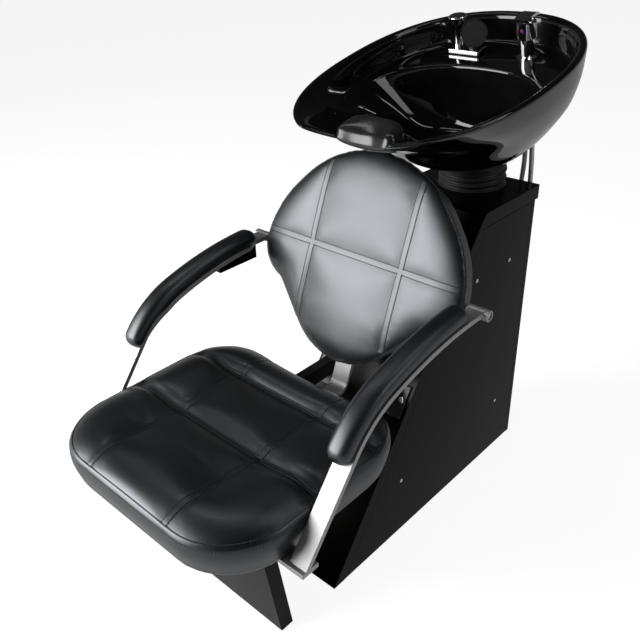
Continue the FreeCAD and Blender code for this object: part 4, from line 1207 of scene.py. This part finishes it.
@dataclass
class Basin:
    """The glazed basin: a rolled egg-shaped rim with a neck notch, a rear deck and a deep tub.

    Tables run from the foot up over the rim and down to the drain. Their rows hold a height, then front,
    rear and half width of the outline there, or the columns that their comment names.
    """

    bench: Bench
    points: int = 160
    power: float = 2.3
    rim: tuple[float, float, float, float] = (-0.030, 0.678, 0.333, 0.265)
    notch_half: float = 0.107
    notch_deep: float = 0.056
    notch_flat: float = 0.42
    notch_side: float = 0.68
    notch_skin: float = 0.12
    band_drop: float = 0.012
    band_top: float = -0.010
    band_share: float = 0.05
    tub_drop: float = 0.0145
    tub_top: float = -0.0575
    tub_share: float = 0.25
    soft_rings: int = 14
    soft_passes: int = 10
    soft_box: tuple[float, float] = (0.19, 0.20)
    foot: tuple[float, float] = (0.435, 0.094)
    # height, radius past the foot's
    foot_rings: tuple[tuple[float, float], ...] = ((-0.256, -0.010), (-0.256, -0.002), (-0.250, 0.002))
    skin: tuple[tuple[float, float, float, float], ...] = (
        (0.0, -0.030, 0.678, 0.265), (-0.060, 0.072, 0.664, 0.250), (-0.120, 0.178, 0.640, 0.224),
        (-0.190, 0.236, 0.596, 0.172), (-0.256, 0.341, 0.529, 0.094))
    skin_heights: tuple[float, ...] = (-0.222, -0.190, -0.155, -0.120, -0.090, -0.060, -0.035, -0.018, -0.009)
    # share of the way over the wall, height
    lip_rings: tuple[tuple[float, float], ...] = (
        (0.02, -0.004), (0.18, 0.0), (0.45, 0.0022), (0.72, 0.0010), (0.93, -0.003))
    band: tuple[tuple[float, float, float, float], ...] = (
        (0.0, -0.010, 0.658, 0.245), (-0.060, 0.092, 0.642, 0.234))
    band_heights: tuple[float, ...] = (-0.010, -0.030, -0.050)
    # height and front of the tub's front wall, as the notch follows it
    tub_front: tuple[tuple[float, float], ...] = (
        (-0.0575, 0.0905), (-0.0600, 0.0925), (-0.0640, 0.1010), (-0.0720, 0.1150), (-0.1000, 0.1700))
    tub_rings: tuple[tuple[float, float, float, float], ...] = (
        (-0.0575, 0.0905, 0.6405, 0.2332), (-0.0600, 0.0925, 0.6360, 0.2305), (-0.0602, 0.0945, 0.6250, 0.2285),
        (-0.0606, 0.0960, 0.5000, 0.2225), (-0.0612, 0.0975, 0.4920, 0.2210), (-0.0640, 0.1010, 0.4885, 0.2180),
        (-0.0720, 0.1150, 0.4870, 0.2130), (-0.1000, 0.1700, 0.4820, 0.1970), (-0.1300, 0.2220, 0.4760, 0.1780),
        (-0.1650, 0.2700, 0.4660, 0.1520), (-0.1900, 0.3020, 0.4560, 0.1280), (-0.2010, 0.3220, 0.4490, 0.1050),
        (-0.2050, 0.3450, 0.4400, 0.0720))
    # height, radius
    drain_rings: tuple[tuple[float, float], ...] = ((-0.2056, 0.0330), (-0.2085, 0.0260), (-0.2180, 0.0220))

    @staticmethod
    def between(table: Sequence[Sequence[float]], height: float) -> tuple[float, ...]:
        """Reads the columns of a table at a height.

        Args:
            table: rows of a height and other sizes, from the top down.
            height: the height to read at.

        Returns:
            The other sizes there.
        """
        for upper, lower in zip(table, table[1:]):
            if height >= lower[0] or lower is table[-1]:
                share = (upper[0] - height) / (upper[0] - lower[0])
                return tuple(a + (b - a) * share for a, b in zip(upper[1:], lower[1:]))
        raise ValueError(height)

    def notch(self, x: float) -> float:
        """How deep the round neck notch lies under the rim at a place across."""
        share = clamp((abs(x) - self.notch_flat * self.notch_half) / (self.notch_side * self.notch_half))
        return self.notch_deep * (1.0 - smooth_step(share))

    def on_skin(self, height: float) -> Outline:
        """An outline of the outer skin that dips under the notch."""
        def outline(x: float, front: bool) -> tuple[float, float, float, float]:
            """Reads the skin at this height or just under the notch."""
            dip = self.notch(x) * max(0.0, 1.0 + height / self.notch_skin) if front else 0.0
            return (height - dip, *self.between(self.skin, height - dip))
        return outline

    def on_lip(self, share: float, height: float) -> Outline:
        """An outline on the rolled rim, a share of the way over the wall."""
        def outline(x: float, front: bool) -> tuple[float, float, float, float]:
            """Reads between skin and band at the rim's height there."""
            low = height - (self.notch(x) if front else 0.0)
            outer, inner = self.between(self.skin, low), self.between(self.band, low)
            return (low, *(a + (b - a) * share for a, b in zip(outer, inner)))
        return outline

    def on_band(self, height: float) -> Outline:
        """An outline of the inner band that dips under the notch."""
        def outline(x: float, front: bool) -> tuple[float, float, float, float]:
            """Reads the band at this height or just under the notch."""
            under = -self.notch(x) - self.band_drop + (height - self.band_top) * self.band_share
            low = min(height, under) if front else height
            return (low, *self.between(self.band, low))
        return outline

    def on_tub(self, height: float, front: float, rear: float, half: float) -> Outline:
        """A level outline of the deck or tub that dips under the notch."""
        def outline(x: float, at_front: bool) -> tuple[float, float, float, float]:
            """Keeps the level, or goes down the tub's front wall at the notch."""
            under = -self.notch(x) - self.tub_drop + self.tub_share * (height - self.tub_top)
            low = min(height, under) if at_front else height
            return (low, front if low == height else self.between(self.tub_front, low)[0], rear, half)
        return outline

    @staticmethod
    def disc(height: float, middle: float, radius: float) -> Outline:
        """A level circle."""
        return lambda x, at_front: (height, middle - radius, middle + radius, radius)

    def ring(self, shape: Shape, outline: Outline, round_one: bool = False) -> list[bmesh.types.BMEdge]:
        """Adds one closed outline.

        Args:
            shape: the shape to add to.
            outline: gives height, front, rear and half width for a place across and whether it is at the front.
            round_one: whether the outline is a circle.

        Returns:
            The outline's edges.
        """
        made = bmesh.ops.create_circle(shape, segments=self.points, radius=1.0)["verts"]
        power = 1.0 if round_one else 2.0 / self.power
        share = (self.rim[2] - self.rim[0]) / (self.rim[1] - self.rim[0])
        for point in made:
            c, s = -point.co.y, point.co.x
            along = math.copysign(abs(c) ** power, c)
            across = math.copysign(abs(s) ** power, s)
            height, front, rear, half = outline(across * self.rim[3], c < 0.0)
            broad = (front + rear) / 2 if round_one else front + (rear - front) * share
            reach = rear - broad if c > 0 else broad - front
            point.co = Vector((half * across, broad + reach * along, height))
        return loop_of(made)

    def build(self) -> Piece:
        """Makes the basin as one closed glazed shell.

        Returns:
            The basin.
        """
        shape = bmesh.new()
        foot, radius = self.foot
        feet = [self.disc(height, foot, radius + past) for height, past in self.foot_rings]
        outside = [self.on_skin(height) for height in self.skin_heights]
        outside += [self.on_lip(share, height) for share, height in self.lip_rings]
        inside = [self.on_band(height) for height in self.band_heights]
        inside += [self.on_tub(*row) for row in self.tub_rings]
        drain = [self.disc(height, DRAIN, radius) for height, radius in self.drain_rings]
        loops = [self.ring(shape, outline, True) for outline in feet]
        loops += [self.ring(shape, outline) for outline in outside + inside]
        loops += [self.ring(shape, outline, True) for outline in drain]
        bridge(shape, loops, closed=True)
        first = len(feet) + len(outside)
        near = {point for loop in loops[first:first + self.soft_rings] for edge in loop for point in edge.verts}
        broad, ahead = self.soft_box
        soften(shape, [point for point in near if point.co.y < ahead and abs(point.co.x) < broad],
               self.soft_passes)
        bmesh.ops.transform(shape, matrix=BASIN, verts=shape.verts)
        basin = self.bench.finish("basin_shell", shape, "black_ceramic", 1)
        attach(basin, Body.BOWL)
        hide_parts("bowl")
        return basin


@dataclass
class NeckRest:
    """The soft rubber saddle over the basin's notch.

    Each line across it has a place and a height at the middle, and how much both change to its ends.
    """

    bench: Bench
    half: float = 0.074
    least: float = 0.05
    squareness: int = 8
    stations: tuple[float, ...] = (0.0, 0.35, 0.6, 0.8, 0.93, 0.985, 1.0)
    lines: tuple[tuple[str, float, float, float, float], ...] = (
        ("lip", 0.064, -0.016, -0.025, 0.017), ("rear", 0.114, -0.004, -0.010, -0.002),
        ("hem", 0.053, -0.018, -0.060, 0.020), ("heart", 0.082, -0.012, -0.052, 0.010))
    # line, line that it leans to, share of the lean, shift along, shift up
    profile: tuple[tuple[str, str, float, float, float], ...] = (
        ("rear", "rear", 0.0, 0.003, -0.060), ("rear", "rear", 0.0, 0.003, -0.012),
        ("rear", "rear", 0.0, -0.001, -0.002), ("rear", "rear", 0.0, -0.009, 0.001),
        ("rear", "lip", 0.55, 0.0, 0.002), ("lip", "lip", 0.0, 0.010, 0.002),
        ("lip", "lip", 0.0, 0.001, -0.003), ("lip", "lip", 0.0, -0.005, -0.012),
        ("lip", "hem", 0.62, -0.003, 0.0), ("hem", "hem", 0.0, 0.0, 0.004),
        ("hem", "hem", 0.0, 0.007, 0.0), ("heart", "heart", 0.0, 0.0, -0.022))

    def build(self) -> Piece:
        """Makes the saddle.

        Returns:
            The neck rest.
        """
        shape = bmesh.new()
        loops = []
        for share in [-station for station in self.stations[:0:-1]] + list(self.stations):
            end = share * share
            full = math.sqrt(max(self.least, 1.0 - abs(share) ** self.squareness))
            at = {name: Vector((0.0, y + y_end * end, z + z_end * end))
                  for name, y, y_end, z, z_end in self.lines}
            ring = bmesh.ops.create_circle(shape, cap_ends=abs(share) == 1.0, segments=len(self.profile),
                                           radius=1.0)["verts"]
            for point, (line, other, lean, along, up) in zip(ring, self.profile):
                place = at[line].lerp(at[other], lean) + Vector((0.0, along, up))
                point.co = at["heart"].lerp(place, full) + Vector((share * self.half, 0, 0))
            loops.append(loop_of(ring))
        bridge(shape, loops)
        bmesh.ops.transform(shape, matrix=BASIN, verts=shape.verts)
        rest = self.bench.finish("neck_saddle", shape, "grey_rubber", 2)
        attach(rest, Body.BOWL)
        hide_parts("neck_rest")
        return rest


@dataclass
class Gaiter:
    """The folded rubber boot between the cabinet and the basin's foot."""

    bench: Bench
    radius: float = 0.082
    fold: float = 0.006
    fold_power: float = 0.8
    folds: int = 4
    steps: int = 8
    hem_out: float = 0.001
    hem_in: float = 0.007
    wall: float = 0.003
    foot: Place = (0.0, 0.310, 0.7404)
    head: Place = (0.0, 0.435, -0.256)
    points: int = 96

    def build(self) -> Piece:
        """Makes the boot, tilted along its length to meet the basin's foot where the basin stands now.

        Returns:
            The boot.
        """
        shape = bmesh.new()
        low, high = Vector(self.foot), BASIN @ Vector(self.head)
        steps = self.folds * self.steps
        hem = [self.radius - self.hem_in, self.radius + self.hem_out]
        rows: list[tuple[float, float]] = [(0.0, radius) for radius in hem]
        for step in range(1, steps):
            share = step / steps
            wave = 0.5 - 0.5 * math.cos(2.0 * math.pi * share * self.folds)
            rows.append((share, self.radius - self.fold * wave ** self.fold_power))
        rows += [(1.0, radius) for radius in reversed(hem)]
        rows += [(share, radius - self.wall) for share, radius in rows[-3:1:-2]]
        loops = []
        for share, radius in rows:
            place = Matrix.Translation(low.lerp(high, share)) @ Matrix.Rotation(BASIN_TILT * share, 4, "X")
            loops.append(loop_of(bmesh.ops.create_circle(shape, segments=self.points, radius=radius,
                                                         matrix=place)["verts"]))
        bridge(shape, loops, closed=True)
        boot = self.bench.finish("gaiter_boot", shape, "black_rubber")
        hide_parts("bowl_gaiter")
        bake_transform(boot)
        return boot


@dataclass
class Hoses:
    """The two supply hoses behind the cabinet and the waste hose inside it.

    Each starts at a place on the basin and follows points on the stand.
    """

    bench: Bench
    radius: float = 0.006
    waste_radius: float = 0.020
    supplies: tuple[tuple[str, Place, tuple[Place, ...]], ...] = (
        ("hot_hose", (0.0565, 0.572, -0.1009), ((0.066, 0.421, 0.900), (0.082, 0.415, 0.800),
                                                (0.080, 0.410, 0.7224), (0.080, 0.410, 0.6724))),
        ("cold_hose", (0.0735, 0.572, -0.1009), ((0.084, 0.421, 0.900), (0.099, 0.415, 0.800),
                                                 (0.105, 0.410, 0.7224), (0.105, 0.410, 0.6724))),
    )
    waste_start: Place = (0.0, DRAIN, -0.2624)
    waste: tuple[Place, ...] = ((0.0, 0.2855, 0.735), (0.0, 0.320, 0.6604), (0.0, 0.320, 0.6004))

    def tube(self, name: str, route: Sequence[Sequence[float]], radius: float,
             slot: str) -> tuple[Piece, list[Vector]]:
        """Makes a round hose along one smooth line.

        Args:
            name: the piece's name.
            route: the control points of its line.
            radius: its radius.
            slot: the finish slot.

        Returns:
            The hose and the points of its line.
        """
        curve = bpy.data.curves.new(name + "_line", "CURVE")
        curve.dimensions = "3D"
        line = curve.splines.new("NURBS")
        line.points.add(len(route) - 1)
        for point, place in zip(line.points, route):
            point.co = (*place, 1.0)
        line.order_u = 3
        line.use_endpoint_u = True
        line.resolution_u = 12
        holder = bpy.data.objects.new(name + "_line", curve)
        bpy.context.scene.collection.objects.link(holder)
        bpy.context.view_layer.update()
        path = [point.co.copy() for point in settled(holder).vertices]
        curve.bevel_depth = radius
        curve.bevel_resolution = 5
        curve.use_fill_caps = True
        bpy.context.view_layer.update()
        skin = settled(holder)
        bpy.data.objects.remove(holder)
        for face in skin.polygons:
            face.use_smooth = True
        skin.name = name
        return self.bench.place(name, skin, slot), path

    def build(self) -> list[Piece]:
        """Makes the three hoses, each starting at its place on the basin where the basin stands now.

        Returns:
            The hoses.
        """
        made = []
        for node, local, points in self.supplies:
            start = BASIN @ Vector(local)
            hose, path = self.tube(node + "_sleeve", [start, *points], self.radius, "braided_steel")
            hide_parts(node)
            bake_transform(hose)
            made.append(hose)
        start = BASIN @ Vector(self.waste_start)
        waste, _ = self.tube("waste_hose_sleeve", [start, *self.waste], self.waste_radius, "grey_plastic")
        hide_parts("waste_hose")
        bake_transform(waste)
        return [*made, waste]


@dataclass
class HardParts:
    """Boards, castings and fittings that keep their form and get rounded edges."""

    bench: Bench
    eases: tuple[tuple[float, str, Body, tuple[str, ...]], ...] = (
        (0.0012, "black_laminate", Body.STAND,
         ("front_panel", "side_panel_right", "side_panel_left", "rear_panel")),
        (0.0016, "black_laminate", Body.STAND, ("top_board", "front_leg")),
        (0.0020, "black_laminate", Body.STAND, ("left_arm_block",)),
        (0.0030, "black_vinyl", Body.STAND, ("back_board",)),
        (0.0014, "satin_aluminium", Body.STAND, ("back_support_bar",)),
        (0.0030, "satin_aluminium", Body.STAND, ("arm_right", "arm_left")),
        (0.0015, "black_steel", Body.STAND, ("seat_rails",)),
        (0.0032, "chrome", Body.BOWL, ("spray_block",)),
        (0.0010, "chrome", Body.LEVER, ("mixer_lever",)),
    )

    def build(self) -> list[Piece]:
        """Makes the rounded pieces.

        Returns:
            The pieces.
        """
        made = []
        for radius, slot, body, nodes in self.eases:
            for node in nodes:
                piece = self.bench.eased(node, radius, slot)
                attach(piece, body)
                made.append(piece)
        return made


@dataclass
class SprayPlate:
    """The rings of rubber jets on the hand shower's face."""

    bench: Bench
    place: Place = (-0.062, 0.552, -0.012)
    aim: Place = (0.6364, -0.7067, 0.3090)
    reach: float = 0.012
    rings: tuple[tuple[float, int], ...] = ((0.006, 6), (0.012, 12), (0.018, 18), (0.0235, 24))
    jet: float = 0.0013
    jet_taper: float = 0.6
    jet_tall: float = 0.0016

    def build(self) -> Piece:
        """Makes the jets.

        Returns:
            The jets as one piece.
        """
        aim = Vector(self.aim)
        turn = BASIN @ Matrix.Translation(Vector(self.place) + aim * self.reach) \
            @ aim.to_track_quat("Z", "Y").to_matrix().to_4x4()
        shape = bmesh.new()
        for radius, count in self.rings:
            for step in range(count):
                spot = Matrix.Translation(level_way(step / count) * radius)
                bmesh.ops.create_cone(shape, cap_ends=True, segments=8, radius1=self.jet,
                                      radius2=self.jet * self.jet_taper, depth=self.jet_tall,
                                      matrix=turn @ spot)
        jets = self.bench.finish("spray_jets", shape, "black_rubber")
        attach(jets, Body.SHOWER)
        return jets


# Studio


@dataclass(frozen=True)
class Lamp:
    """A soft rectangular lamp."""

    name: str
    place: Place
    aim: Place
    size: tuple[float, float]
    power: float

    def build(self) -> None:
        """Hangs the lamp."""
        light = bpy.data.lights.new(self.name, "AREA")
        light.shape = "RECTANGLE"
        light.size, light.size_y = self.size
        light.energy = self.power
        holder = bpy.data.objects.new(self.name, light)
        bpy.context.scene.collection.objects.link(holder)
        way = Vector(self.aim) - Vector(self.place)
        turn = way.to_track_quat("-Z", "Y").to_matrix().to_4x4()
        holder.matrix_world = Matrix.Translation(self.place) @ turn


@dataclass
class Studio:
    """Camera, lamps, pale floor and white surroundings."""

    eye: Place = (0.9212, -1.2174, 1.3625)
    azimuth: float = 43.60
    elevation: float = 29.87
    roll: float = -2.05
    lens: float = 41.52
    sensor: float = 36.0
    surround: float = 0.025
    mirrored: float = 0.40
    glow: float = 0.90
    dim_above: float = 0.30
    bright_below: float = 0.02
    floor_size: float = 14.0
    floor_dark: Colour = grey(0.40)
    floor_pale: Colour = grey(0.42)
    floor_cloud: Grain = Grain(3.0, 4.0)
    lamps: tuple[Lamp, ...] = (
        Lamp("front_window", (-1.75, -2.75, 1.55), (0.0, -0.2, 0.65), (2.4, 2.0), 145.0),
        Lamp("left_tube", (-0.9, -0.2, 2.8), (-0.2, 0.0, 0.9), (0.12, 1.6), 4.0),
        Lamp("right_tube", (0.9, 0.5, 2.8), (0.1, 0.1, 0.9), (0.12, 1.6), 4.0),
        Lamp("right_side", (2.8, 0.6, 2.3), (0.0, 0.0, 0.8), (0.9, 1.2), 9.0),
    )

    def build(self) -> None:
        """Sets up the whole studio."""
        self.camera()
        for lamp in self.lamps:
            lamp.build()
        self.air()
        self.floor()
        bpy.context.scene.view_settings.view_transform = "Standard"

    def camera(self) -> None:
        """Puts the camera where the photograph was taken from."""
        a, e, r = (math.radians(v) for v in (self.azimuth, self.elevation, self.roll))
        back = Vector((math.sin(a) * math.cos(e), -math.cos(a) * math.cos(e), math.sin(e)))
        right = (-back).cross(Vector((0, 0, 1))).normalized()
        up = right.cross(-back)
        across = right * math.cos(r) + up * math.sin(r)
        above = up * math.cos(r) - right * math.sin(r)
        data = bpy.data.cameras.new("camera")
        data.lens = self.lens
        data.sensor_width = self.sensor
        data.sensor_fit = "HORIZONTAL"
        holder = bpy.data.objects.new("camera", data)
        bpy.context.scene.collection.objects.link(holder)
        turn = Matrix((across, above, back)).transposed().to_4x4()
        holder.matrix_world = Matrix.Translation(self.eye) @ turn
        bpy.context.scene.camera = holder

    def air(self) -> None:
        """Makes the surroundings white to the eye and dim to the object."""
        world = bpy.data.worlds.new("surroundings")
        bpy.context.scene.world = world
        world.use_nodes = True
        graph = Graph(world.node_tree)
        shade = graph.nodes["Background"]
        shade.inputs["Color"].default_value = WHITE
        path = graph.node("LightPath").outputs
        apart = graph.node("SeparateXYZ")
        graph.join(graph.node("TexCoord").outputs["Generated"], apart.inputs["Vector"])
        low = graph.node("MapRange", {"From Min": self.dim_above, "From Max": self.bright_below,
                                      "To Min": self.surround, "To Max": self.mirrored})
        graph.join(apart.outputs["Z"], low.inputs["Value"])
        seen = graph.calc("ADD", path["Is Glossy Ray"], path["Is Transmission Ray"])
        shown = graph.calc("MULTIPLY", seen, low.outputs["Result"])
        white = graph.calc("MAXIMUM", path["Is Camera Ray"], shown)
        graph.join(graph.calc("MAXIMUM", white, self.surround), shade.inputs["Strength"])

    def floor(self) -> None:
        """Lays the plain pale floor."""
        shape = bmesh.new()
        bmesh.ops.create_grid(shape, x_segments=2, y_segments=2, size=self.floor_size)
        mesh = bpy.data.meshes.new("floor")
        shape.to_mesh(mesh)
        shape.free()
        floor = bpy.data.objects.new("floor", mesh)
        bpy.context.scene.collection.objects.link(floor)
        recipe = Recipe("floor_paint")
        recipe.mottle(recipe.noise(self.floor_cloud), self.floor_dark, self.floor_pale)
        recipe.set(Roughness=0.9, Specular_IOR_Level=0.0, Emission_Color=WHITE)
        path = recipe.node("LightPath").outputs
        seen = recipe.sum(path["Is Camera Ray"], path["Is Glossy Ray"], self.mirrored)
        seen = recipe.sum(seen, path["Is Transmission Ray"], self.mirrored)
        recipe.join(recipe.calc("MULTIPLY", seen, self.glow), recipe.shader.inputs["Emission Strength"])
        mesh.materials.append(recipe.material)


def main() -> None:
    """Builds the studio and every piece of the chair in order."""
    logging.basicConfig(level=logging.INFO, format="%(message)s")
    Studio().build()
    palette = Palette(FINISHES)
    palette.dress_frame()
    bench = Bench(palette)
    pieces: list[Piece] = []
    pieces += Hoses(bench).build()
    pieces += [Gaiter(bench).build(), Basin(bench).build(), NeckRest(bench).build()]
    pieces += HardParts(bench).build()
    pieces.append(SprayPlate(bench).build())
    pieces += ArmPads(bench).build()
    for cushion in (SeatCushion(bench), BackCushion(bench)):
        cover = cushion.build()
        pieces += [cover, *cushion.sew(cover)]
    for piece in pieces:
        LOG.info("made %s with %d faces", piece.name, len(piece.data.polygons))


if __name__ == "__main__":
    main()
